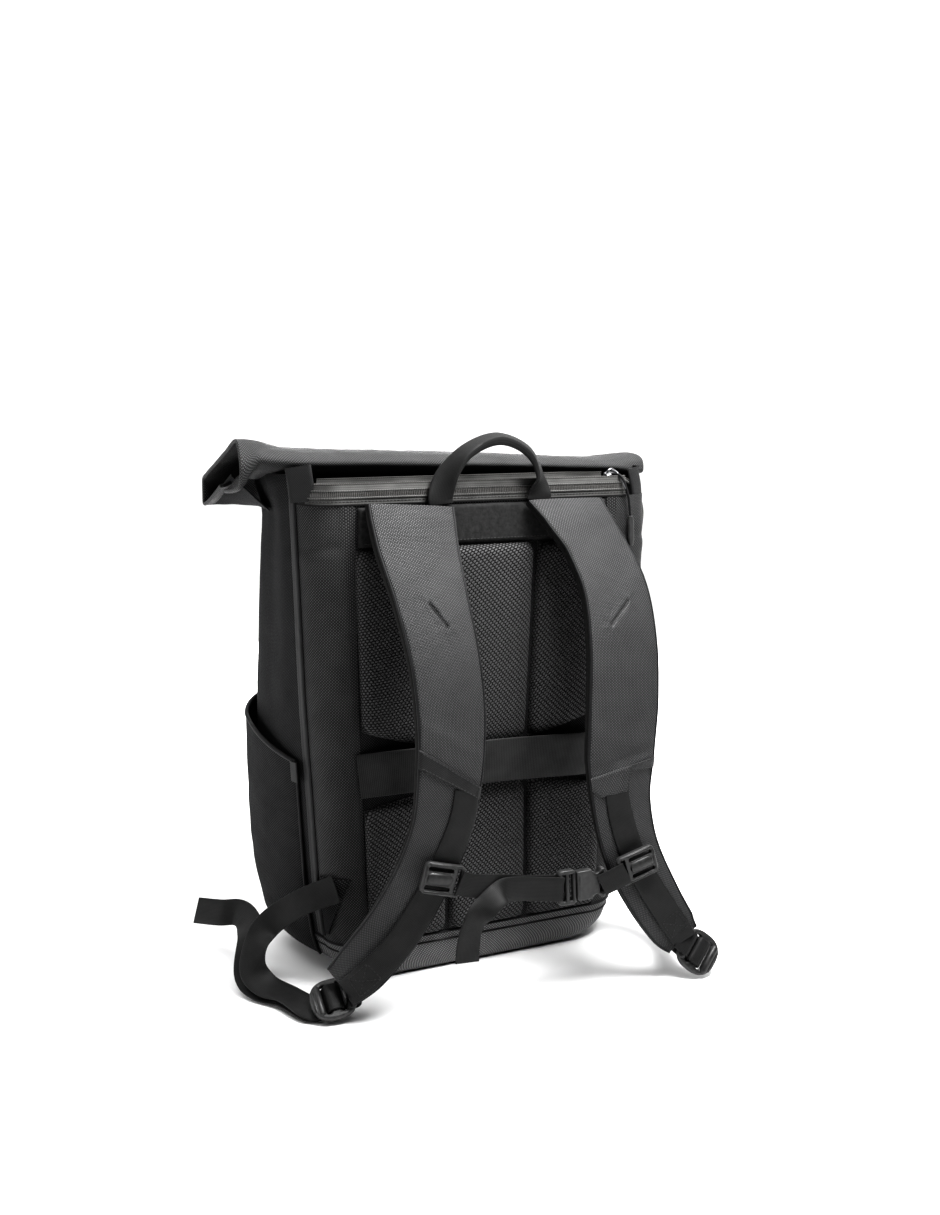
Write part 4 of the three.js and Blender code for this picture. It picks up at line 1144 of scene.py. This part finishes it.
ZIP_SIDE = [
    row((147, -75, 457.5), (0.2, -0.3, 1)),
    row((159, -72, 454), (0.5, -0.3, 0.8)),
    row((173, -66.5, 446), (0.9, -0.3, 0.4)),
    row((184, -61, 424), (1, -0.15, 0.1)),
    *(row(on_right_seam(z), (1, -0.1, 0)) for z in (385, 345, 305)),
]
band("side_zip", "zip_side", ZIP_SIDE, 90, "tape", 13, 2.2)
closed_places = along_line(*on_band(ZIP_SIDE, 120, 0, 0.3), TOOTH_PITCH)
closed_teeth = [(at, np.cross(along, face), face) for at, along, face in closed_places]
beads("closed_teeth", closed_teeth, "coil", 5.4, 1.3, 1.6)

ZIP_SLIDER = [
    row((134, -77, 458.5), (0, -0.3, 1), 7, 4),
    row((138, -76.4, 459), (0, -0.3, 1), 10, 6),
    row((146.4, -75, 458.3), (0.1, -0.3, 1), 8, 5),
]
BRIDGE = [
    (135.5, -77.5, 461.2), (137, -78.5, 464), (140.5, -78, 465), (143.5, -76.5, 464), (145, -75.5, 460.9),
]
SLIDER_BAR = [(140.3, -79, 464), (141, -86, 462), (143, -92.3, 456), (146.5, -94.2, 447)]
band("slider", "zip_slider", ZIP_SLIDER, 16, "metal", profile=pad_profile(14, 4.0))
tube("slider_bridge", Curve(BRIDGE).line(24), 1.0, "metal")


def end_tab(side, face, width, places):
    """A loop of webbing over one end of the mouth."""
    rows = [row(at, face, width, 3.6) for at in places]
    band(f"end_tab_{side}", f"zip_tab_{side}", rows, 24, "hem", profile=FOLDED_BAND, slot="webbing")


end_tab("left", (-0.45, -0.89, 0), 23,
        [(-167.5, -74, 443.5), (-168.6, -74.6, 452), (-170.4, -75, 466), (-171.4, -74, 474)])
end_tab("right", (0.55, -0.84, 0), 20,
        [(171.5, -73.5, 439.5), (170.3, -74, 448), (168.3, -73.5, 458), (167, -72.5, 465)])
tube("slider_bar", Curve(SLIDER_BAR).line(20), 1.3, "metal")


# Bindings over the upright seams
def binding(side, sign, low, high):
    place = on_side(REAR_SEAM, sign)

    def pair(z, s):
        swell = 1.9 * (1 - abs(s) ** 4) ** 0.5 + 0.15 * ripple((s * 6, z, place), 9)
        at = place - sign * (-0.03 + 0.09 * s)
        out = right_swell(z, at)
        return wall_point(z, at, -0.5 - max(swell, 0.1) - out), wall_point(z, at, -0.4 - out)

    grids = two_grids(steps(140, low, high), steps(10, -1, 1), pair)
    sheet(f"seam_binding_{side}", f"edge_binding_{side}", grids, "binding")


for (side, sign), top in zip(SIDES, (463, 294)):
    binding(side, sign, 42, top)

# Side pockets
POCKET = Values(rear=2.14, front=3.95, low=16, top_rear=205, top_front=243, proud=8)


def pocket_point(sign, t, v, out):
    top = lerp(POCKET.top_rear, POCKET.top_front, min(1, t * 1.2))
    z = lerp(POCKET.low, top, v)
    fill = arch(t) ** 0.6 * min(1, v * 11) ** 0.4
    u = lerp(POCKET.rear, POCKET.front, t)
    inner = arch(t) ** 0.5 * arch(min(v, 0.97))
    slack = inner * (1.6 * ripple((u * 50, z, sign), 36, 2.0) + 0.6 * ripple((u * 50, z, sign), 15, 7.0))
    return wall_point(z, on_side(u, sign), -(1.6 + POCKET.proud * fill + slack + out))


def side_pocket(side, sign):
    name = f"pocket_{side}"
    grids = [[[pocket_point(sign, t, v, out) for t in steps(70)] for v in steps(90)] for out in (CLOTH, 0)]
    sheet(name, f"side_{name}", grids, "fine")
    top = [pocket_point(sign, t, 0.995, CLOTH / 2) for t in steps(90)]
    tube(name + "_hem", top, 2.1, "binding", sides=10)
    edge = [pocket_point(sign, 0.0, v, CLOTH / 2) for v in steps(60)]
    tube(name + "_edge", edge, 1.5, "binding")


def pocket_tab(side, sign):
    place = on_side(POCKET.rear - 0.02, sign)
    rows = [row(wall_point(z, place, -6.2), (sign, -0.2, 0)) for z in (186, 205)]
    band(f"tab_{side}", f"pocket_tab_{side}", rows, 12, width=12, profile=FOLDED_BAND)


for build in (side_pocket, pocket_tab):
    for side, sign in SIDES:
        build(side, sign)

# Shoulder straps
STRAP_LEFT = [
    row((-78, -100.8, 438), (0, -0.96, 0.25), 79, 9),
    row((-79, -108, 425), (0, -0.9, 0.42), 78, 11),
    row((-80, -121, 402), (0, -0.86, 0.5), 74, 12),
    row((-79, -146, 362), (0, -0.9, 0.42), 66, 12),
    row((-76, -168, 312), (0, -0.95, 0.25), 62, 12),
    row((-75, -178, 265), (0, -1, 0.1), 61, 11),
    row((-78, -182, 218), HARNESS, 59, 10),
    row((-84, -180, 173), (-0.05, -1, -0.05), 54, 8),
    row((-99, -174, 129), (-0.1, -1, 0), 51, 8),
    row((-123, -165, 83), (-0.2, -1, 0.15), 48, 8),
    row((-149, -155.5, 48), (-0.3, -0.9, 0.35), 45, 7),
    row((-164, -147.5, 30), (-0.35, -0.75, 0.5), 38, 6),
]
STRAP_RIGHT = [
    row((76, -100.8, 438), (0, -0.96, 0.25), 75, 9, 1.0),
    row((81, -112, 425), (0, -0.9, 0.42), 67, 11, 0.75),
    row((91, -127, 402), (0, -0.86, 0.5), 61, 12, 0.3),
    row((100.5, -150, 362), (0, -0.9, 0.42), 65, 12),
    row((99, -169, 312), (0, -0.95, 0.25), 68, 12),
    row((95, -178, 262), (0, -1, 0.1), 70, 11),
    row((90, -183, 212), HARNESS, 67, 10),
    row((90, -186, 172), (0.05, -1, -0.05), 59, 8),
    row((99, -190, 127), (0.05, -1, 0), 54, 8),
    row((121, -195, 80), (-0.05, -1, 0.1), 49, 8),
    row((141, -199, 48), (-0.2, -1, 0.15), 43, 7),
    row((149.6, -201.3, 36.9), (-0.27, -0.95, 0.2), 34, 5),
]
SLIT_LEFT = ((0.282, 0.12), (0.318, -0.22))
SLIT_RIGHT = ((0.299, -0.24), (0.333, 0.36))
FOLDS_LEFT = table("along lean wide high", (0.49, 0.03, 0.012, 0.7))
FOLDS_RIGHT = table(
    "along lean wide high", (0.515, 0.01, 0.016, 1.2), (0.545, -0.02, 0.012, -1.0), (0.572, -0.03, 0.014, 1.4)
)
STRAP_RUN = 452
STRAP_HALF = 32
EDGE = 0.5


def crown(s):
    """Height of a strap's front at a share across it, as a share of half its thickness."""
    far = min(abs(s), 1.0)
    return EDGE + (1 - 0.2 * far ** 2.5 - EDGE) * (1 - far ** 26) ** 0.5


def strap_point(f, share, lift):
    return beside(f, share * f.width / 2, crown(share) * f.thick / 2 + lift)


def strap_press(slit, seed, folds):
    """Puckers round a sewn slit, cross folds above the hem and slight waves in the cloth of a strap."""
    (ax, ay), (bx, by) = ((along * STRAP_RUN, share * STRAP_HALF) for along, share in slit)
    lx, ly = bx - ax, by - ay

    def press(f, s, h):
        if h < EDGE - 0.01:
            return 0.0
        x, y = f.t * STRAP_RUN, s * STRAP_HALF
        t = clamp(((x - ax) * lx + (y - ay) * ly) / (lx * lx + ly * ly))
        off = hypot(x - ax - t * lx, y - ay - t * ly)
        move = -1.9 * hump(off, 0, 1.0) + 0.4 * hump(off, 3.2, 2.4)
        for tx, ty in ((ax, ay), (bx, by)):
            far = hypot(x - tx, y - ty)
            move += 0.24 * cos(5 * atan2(y - ty, x - tx)) * hump(far, 7, 5)
        for fold in folds:
            move += fold["high"] * hump(f.t + fold["lean"] * s, fold["along"], fold["wide"])
        move += 0.45 * ripple((y, x, 0), 26, seed) + 0.15 * ripple((y, x, 0), 9, seed)
        return smooth(1.0, 0.9, abs(s)) * move

    return press


STRAP_PROFILE = [
    *((s, crown(s)) for s in np.linspace(1, -1, 72)), (-1, -0.5), (-0.96, -0.85),
    *((s, -0.88) for s in np.linspace(-0.8, 0.8, 8)), (0.96, -0.85), (1, -0.5),
]
LINING_OUT = [(1.0, 0.55), (1.04, 0.3), (1.05, -0.6), (1.01, -0.95), (0.9, -1.0), (0.4, -1.0)]
LINING_IN = [(0.4, -0.8), (0.88, -0.8), (0.95, -0.7), (0.97, -0.5), (0.97, 0.2), (0.95, 0.45)]
LINING_PROFILE = LINING_OUT + [(-s, h) for s, h in LINING_OUT[::-1] + LINING_IN[::-1]] + LINING_IN


def padded_strap(side, rows, press):
    made = band(f"padded_strap_{side}", f"shoulder_strap_{side}", rows, 400, "strap", profile=STRAP_PROFILE,
                press=press)
    band(f"strap_lining_{side}", None, rows, 200, "lining", profile=LINING_PROFILE)
    found = frames_along(rows, 200)
    for edge, sign in (("a", -1), ("b", 1)):
        line = [beside(f, sign * f.width / 2, 0.27 * f.thick) for f in found]
        tube(f"strap_piping_{side}_{edge}", line, 1.3, "binding")


def slit_thread(side, rows, slit):
    """The sewn line at the bottom of a slit."""
    places = []
    for t in steps(12):
        along, share = (lerp(a, b, t) for a, b in zip(*slit))
        places.append(strap_point(frames_along(rows, 1, along, 1.0)[0], share, -1.2))
    tube(f"slit_thread_{side}", places, 0.55, "thread", sides=6)


padded_strap("left", STRAP_LEFT, strap_press(SLIT_LEFT, 1.0, FOLDS_LEFT))
padded_strap("right", STRAP_RIGHT, strap_press(SLIT_RIGHT, 5.0, FOLDS_RIGHT))
slit_thread("left", STRAP_LEFT, SLIT_LEFT)
slit_thread("right", STRAP_RIGHT, SLIT_RIGHT)
FINE = 1600


def hem(side, rows, look, upper, lower):
    """The turned end of the strap's cloth: it lies across the strap and covers the head of the rail."""
    found = frames_along(rows, FINE)

    def frame_at(w, share):
        return found[round(lerp(upper(share), lower(share), w) * FINE)]

    def pair(w, share):
        f = frame_at(w, share)
        edge = min(w, 1 - w) * 18
        full = 1.5 * edge_round(edge, 2.2)
        swell = 0.5 * ripple((share * 30, w * 12, 0), 11, 4.0) * edge_round(edge, 6)
        return strap_point(f, share, 0.5 + full + swell), strap_point(f, share, -0.6)

    seams = []
    for w in (0.14, 0.86):
        on = [(frame_at(w, share), share) for share in steps(48, 0.96, -0.96)]
        seams.append(([strap_point(f, share, 2.1) for f, share in on], [f.face for f, share in on]))
    sewn(f"hem_stitches_{side}", seams)
    grids = two_grids(steps(16), steps(64, 1.03, -1.03), pair)
    sheet(f"hem_cloth_{side}", f"hem_band_{side}", grids, look)


hem("left", STRAP_LEFT, "hem", lambda s: lerp(0.567, 0.502, (s + 1) / 2),
    lambda s: lerp(0.590, 0.536, (s + 1) / 2))
hem("right", STRAP_RIGHT, "strap", lambda s: lerp(0.545, 0.578, (s + 1) / 2),
    lambda s: lerp(0.568, 0.616, smooth(-0.32, -0.12, s)) - 0.012 * smooth(0.75, 1.0, s))


def rail(side, rows, *places):
    """Webbing sewn down a strap from under its hem. Each place is a share along the strap, a shift across it,
    a lift off its face and the width of the webbing."""
    found = frames_along(rows, FINE)
    on = []
    for along, shift, lift, width in places:
        f = found[round(along * FINE)]
        on.append(row(beside(f, shift, f.thick * 0.44 + lift), f.face, width, WEB_THICK))
    band(f"rail_webbing_{side}", f"rail_{side}", on, 160)
    return on


RAIL_LEFT = rail(
    "left", STRAP_LEFT, (0.572, -15.5, 0.9, 23), (0.62, -15, 1.2, 24), (0.688, -12, 1.3, 25),
    (0.74, -11, 1.6, 25), (0.79, -10.5, 2.6, 25), (0.83, -10.5, 4.0, 25), (0.873, -9.5, 4.6, 25),
    (0.932, -8.5, 4.2, 25), (1.0, -7, 2.0, 24),
)
RAIL_RIGHT = rail(
    "right", STRAP_RIGHT, (0.595, 7, 0.9, 24), (0.65, 5, 1.2, 25), (0.728, 2, 1.5, 25), (0.78, 0, 1.6, 25),
    (0.858, -2, 1.6, 25), (0.93, -2, 1.8, 25), (1.0, 0, 2.4, 24),
)


def box_stitches(side, rows, start, end):
    """A sewn box with a cross in it, on a band."""
    lines = [on_band(rows, 30, shift, 0.1, start, end) for shift in (-9, 9)]
    edges = list(zip(*(points for points, faces in lines)))
    faces = lines[0][1]
    last = len(edges) - 1
    for i in (0, last):
        lines.append(([lerp(*edges[i], t) for t in steps(8)], [faces[i]] * 9))
    for first in (0, 1):
        cross = [lerp(*edge, abs(first - i / last)) for i, edge in enumerate(edges)]
        lines.append((cross, faces))
    sewn(f"box_stitches_{side}", lines, "dark_thread")


box_stitches("left", RAIL_LEFT, 0.80, 0.93)
box_stitches("right", RAIL_RIGHT, 0.70, 0.84)

# Ladderlocks and the lower webbing that is laced through them
LADDER = Values(across=39, along=40, thick=6, slot_at=6.6, slot=4.6, slot_wide=28)
LADDER_LEFT = axes((-171, -142, 17), (-0.95, 0.12, -0.12), (-0.25, -0.5, 0.82))
LADDER_RIGHT = axes((164.4, -205.2, 22.8), (0.7, -0.3, -0.6), (-0.12, -0.9, 0.4))


def cross_bar(half, y, z, radius):
    return rod((-half, y, z), (half, y, z), radius)


def ladderlock(side, place):
    ends = (-1, 1)
    slots = [rounded_box(LADDER.slot_wide, LADDER.slot, 2.0, 0, end * LADDER.slot_at) for end in ends]
    meshes = [moulded(oval(LADDER.across, LADDER.along, 64, 0.8), slots, LADDER.thick, 1.9)]
    for end in ends:
        meshes.append(cross_bar(15, end * 12.6, 1.6, 3.6))
        meshes.append(cross_bar(11, end * 16.6, 1.0, 2.4))
    fitting(f"moulded_ladderlock_{side}", f"ladderlock_{side}", meshes, place)


ladderlock("left", LADDER_LEFT)
ladderlock("right", LADDER_RIGHT)

# Paths of webbing through a ladderlock: how far along it, and how far above its middle
LACING = [
    (18, -4.6), (13, -4.5), (8.8, -3.4), (7.2, 0), (4.4, 4.3), (0, 4.8), (-4.4, 4.3), (-7.2, 0), (-6.2, -4.4),
    (-1, -6.6), (12, -6.9), (18, -7.2),
]
BAR_LOOP_LEFT = [
    (8, 15), (8.2, 9), (8.4, 3.5), (8.6, -0.5), (10.5, -4.2), (15, -4.8), (20, -4), (22, 0), (20, 4.8),
    (15.5, 9.5), (11.5, 13.5),
]
BAR_LOOP_RIGHT = [(25, 6.2), (20, 6.3), (15, 6.3), (11, 5.8), (8.8, 3.2), (8.4, 0), (8.6, -2.6)]


def lacing(place, direction, path=LACING):
    points = [np.array(place @ Vector((0, direction * along, above))) for along, above in path]
    across = np.array(place.to_3x3().col[0])
    last = len(points) - 1
    rows = []
    for i, p in enumerate(points):
        ahead = points[min(i + 1, last)] - points[max(i - 1, 0)]
        rows.append(row(p, -direction * unit(np.cross(across, ahead))))
    return rows


def turned_over(rows):
    return [row(r.at, -np.asarray(r.face, float)) for r in rows]


band("bar_loop_left", None, lacing(LADDER_LEFT, -1, BAR_LOOP_LEFT), 90, width=22)
band("bar_loop_right", None, lacing(LADDER_RIGHT, -1, BAR_LOOP_RIGHT), 60, width=23)

TURNED_UP = (-0.3, -0.75, 0.55)
TAIL_FACE = (-0.6, -0.6, 0.5)
LEANING = (-0.04, -0.2, 0.98)
LOWER_LEFT = [
    row(wall_point(95, 1.45, -6), (-0.6, -0.7, 0.3)),
    row((-175, -68, 79), TURNED_UP),
    row((-201, -51, 56), TURNED_UP),
    row((-216, -59, 41), (-0.65, -0.55, 0.5)),
    row((-221, -69, 24), (-0.45, -0.55, 0.7)),
    row((-214, -82, 13.6), (-0.25, -0.35, 0.9)),
    row((-200, -101, 10.2), LEANING),
    *lacing(LADDER_LEFT, 1),
    *turned_over([
        row((-201, -99, 5.2), LEANING),
        row((-217, -77, 7.5), (-0.2, -0.3, 0.9)),
        row((-224, -60, 17), (-0.5, -0.5, 0.7)),
        row((-212, -32, 40), TURNED_UP),
        row((-208, 0, 46), (-0.5, -0.7, 0.5)),
        row((-212, 16, 46), TAIL_FACE),
        row((-224, 26, 44), TAIL_FACE),
        row((-242, 52, 40), TAIL_FACE),
    ]),
]
LOWER_RIGHT = [
    row(wall_point(95, 8.55, -6), (0.6, -0.7, 0.3)),
    row((166, -104, 78), (0.3, -0.6, 0.7)),
    row((170, -142, 56), (0, -0.6, 0.8)),
    row((157, -180, 40), (-0.2, -0.75, 0.6)),
    *lacing(LADDER_RIGHT, -1)[:-1],
    *turned_over([
        row((139, -186, 54), (-0.1, -1, 0.1)),
        row((124, -185, 76), (0, -1, 0.1)),
        row((114, -181, 100), HARNESS),
    ]),
]
band("lower_webbing_left", "lower_web_left", LOWER_LEFT, 360)
band("lower_webbing_right", "lower_web_right", LOWER_RIGHT, 300)


def anchor_tab(side, sign):
    def pair(t, v):
        place = on_side(lerp(lerp(1.74, 1.22, t), 1.82, v), sign)
        edge = min(t * 56, (1 - t) * 56, v * 30, (1 - v) * 30)
        lift = 2.8 - 0.9 * (1 - edge_round(edge, 3))
        z = lerp(46, 102, t)
        return wall_point(z, place, -lift), wall_point(z, place, -0.8)

    sheet(f"anchor_cloth_{side}", f"anchor_tab_{side}", two_grids(steps(24), steps(24), pair), "fine")


for side, sign in SIDES:
    anchor_tab(side, sign)

# Sternum strap with its sliders and buckle
FACING = (-0.05, -1, 0.05)
SLIDER = Values(w=28, h=38, thick=5)
SLIDER_LEFT = axes((-87, -187.5, 128), (0.96, -0.06, -0.26), (-0.1, -1, 0))
SLIDER_RIGHT = axes((98, -202.6, 117), (-0.95, 0.06, -0.28), HARNESS)


def sternum_slider(side, place):
    """A frame with a domed bar along its middle, and a second loop at one end that holds the webbing."""
    slots = [rounded_box(3.6, 23, 1.5, x, -4) for x in (-8.2, 8.2)]
    slots.append(rounded_box(22, 3.6, 1.2, 0, 13.5))
    meshes = [moulded(rounded_box(SLIDER.w, SLIDER.h, 5), slots, SLIDER.thick, 1.0)]
    meshes.append(rod((0, -15.6, 1.2), (0, 8.6, 1.2), 5.6, 0.62, 16))
    for x in (-12.2, 12.2):
        meshes.append(rod((x, -15.5, 2.0), (x, 15.5, 2.0), 1.3))
    for y in (-17.2, 17.2):
        meshes.append(cross_bar(10.5, y, 2.0, 1.3))
    fitting(f"moulded_slider_{side}", f"sternum_slider_{side}", meshes, place)


sternum_slider("left", SLIDER_LEFT)
sternum_slider("right", SLIDER_RIGHT)
LEFT_PLACES = (
    (-73.5, -192.8, 124.5), (-66, -192.6, 121), (-27, -187, 112), (0, -184.6, 106), (27, -183.8, 102),
)
RIGHT_PLACES = ((63, -199.2, 102), (72, -202.6, 106.5), (85, -207, 113.2))
STERNUM_TAIL = [
    row((27, -193.5, 102), FACING),
    row((6, -192.2, 105.5), FACING),
    row((-14, -192.2, 109), FACING),
    row((-29, -194, 111), (0, -0.97, 0.2)),
    row((-38, -197.5, 110), (0.2, -0.6, 0.77)),
    row((-48, -199.5, 104.5), (0.4, -0.4, 0.82)),
    row((-58, -199, 95), (0.4, -0.55, 0.73)),
    row((-64.5, -196.5, 81), (0.15, -0.95, 0.3)),
    row((-66.5, -194.5, 64), FACING),
    row((-67, -194, 52), FACING),
]
band("sternum_webbing_left", "sternum_web_left", [row(at, FACING) for at in LEFT_PLACES], 80, width=21)
band("sternum_webbing_tail", "sternum_tail", STERNUM_TAIL, 110, width=22)
band("sternum_webbing_right", "sternum_web_right", [row(at, FACING) for at in RIGHT_PLACES], 40, width=21)

BUCKLE_AXIS = (0.99, -0.1, 0.03)
PLUG = Values(w=32, h=17, thick=7)
plug_slots = [rounded_box(24, 4.4, 1.2, 0, y) for y in (-3.6, 3.6)]
plug_meshes = [moulded(rounded_box(PLUG.w, PLUG.h, 4), plug_slots, PLUG.thick, 1.4)]
for y, radius in ((-6.6, 1.7), (0.0, 2.0), (6.6, 1.7)):
    plug_meshes.append(cross_bar(13.5, y, 2.4, radius))
fitting("moulded_plug", "buckle_plug", plug_meshes, axes((32.5, -189.5, 102), BUCKLE_AXIS, FACING))
SOCKET_HALF = [
    (0, -13.5), (10.8, -13.5), (12.6, -13), (13.4, -11.4), (13.6, -6), (13.6, -0.6), (13.0, 0.8), (11.0, 2.2),
    (9.8, 4.2), (9.7, 6.4), (10.8, 8.6), (13.0, 10.0), (13.5, 11.6), (12.7, 13.2), (11, 13.5), (0, 13.5),
]
socket_outline = SOCKET_HALF + [(-x, y) for x, y in SOCKET_HALF[-2:0:-1]]
socket_meshes = [moulded(socket_outline, [rounded_box(18, 3.2, 1.2, 0, 10.4)], 9, 1.6)]
socket_meshes.append(cross_bar(10.5, -11.4, 3.6, 1.3))
fitting("moulded_socket", "buckle_socket", socket_meshes, axes((55, -192, 103), BUCKLE_AXIS, FACING))

# Front closure
CLOSURE = [
    *(row(wall_point(z, FRONT_MIDDLE, -2.2), -HARNESS) for z in (300, 350, 400)),
    row((0, 97.6, 424), -HARNESS),
    row((0, 97.8, 438), -HARNESS),
    row((0, 95.6, 452), (0, 1, 0.2)),
]
band("closure_webbing", "closure_web", CLOSURE, 80)
fitting("moulded_clasp", "closure_clasp", [moulded(rounded_box(32, 42, 6), [], 7, 2.0)],
        axes(wall_point(350, FRONT_MIDDLE, -8.6), UP, -HARNESS))

# Floor
FLOOR = 8
floor_mesh = bpy.data.meshes.new("floor")
floor_corners = [(x * FLOOR, y * FLOOR, 0) for x, y in ((-1, -1), (1, -1), (1, 1), (-1, 1))]
floor_mesh.from_pydata(floor_corners, [], [(0, 1, 2, 3)])
floor = placed("floor", floor_mesh)
floor_mesh.materials.append(material("paper").finish(shade(0.9), 0.9, specular=0.1))

# Sky: it lights the bag from the side of its front, and the camera sees it white all round
sky = Graph(bpy.data.worlds.new("studio"))
ways = sky.node("ShaderNodeSeparateXYZ", Vector=sky.node("ShaderNodeTexCoord").outputs["Generated"])
fade = sky.span(ways.outputs["Y"], 0.25, 0.6, 0.012, 1.0)
fade.node.interpolation_type = "SMOOTHSTEP"
seen = sky.node("ShaderNodeLightPath").outputs["Is Camera Ray"]
background = sky.tree.nodes["Background"]
sky.put(background.inputs["Strength"], sky.math("MAXIMUM", fade, seen))
background.inputs["Color"].default_value = shade(1)
studio.world = sky.owner


# Soft lights
def set_light(name, data, energy, towards, at=(0, 0, 0)):
    data.energy = energy
    made = placed(name, data)
    made.location = at
    made.rotation_euler = (Vector(towards) - Vector(at)).to_track_quat("-Z", "Y").to_euler()


def soft_sun(name, towards, angle, strength):
    """A broad light from one side of the sky, even all over the floor."""
    data = bpy.data.lights.new(name, "SUN")
    data.angle = radians(angle)
    set_light(name, data, strength, towards)


def soft_box(name, at, towards, size, watts):
    """A broad lamp that faces the part, brighter on what is nearer to it."""
    data = bpy.data.lights.new(name, "AREA")
    data.shape = "DISK"
    data.size = size
    set_light(name, data, watts, towards, at)


soft_sun("top_light", (-0.04, 0.04, -1), 76, 2.0)
soft_box("key_light", (0.16, -0.4, 0.99), (0.0, -0.12, 0.4), 0.45, 12.6)
soft_box("high_light", (0.28, -0.5, 1.32), (0.0, -0.12, 0.3), 0.6, 2.9)
soft_box("front_light", (0.5, 1.5, 0.45), (0.0, 0.1, 0.25), 0.9, 22.0)
soft_box("left_light", (-1.1, 0.15, 0.14), (-0.18, 0.0, 0.14), 0.5, 3.0)
soft_box("right_light", (1.2, 0.8, 0.3), (0.18, 0.0, 0.25), 0.7, 3.0)
studio.view_settings.view_transform = "Standard"
studio.view_settings.look = "High Contrast"
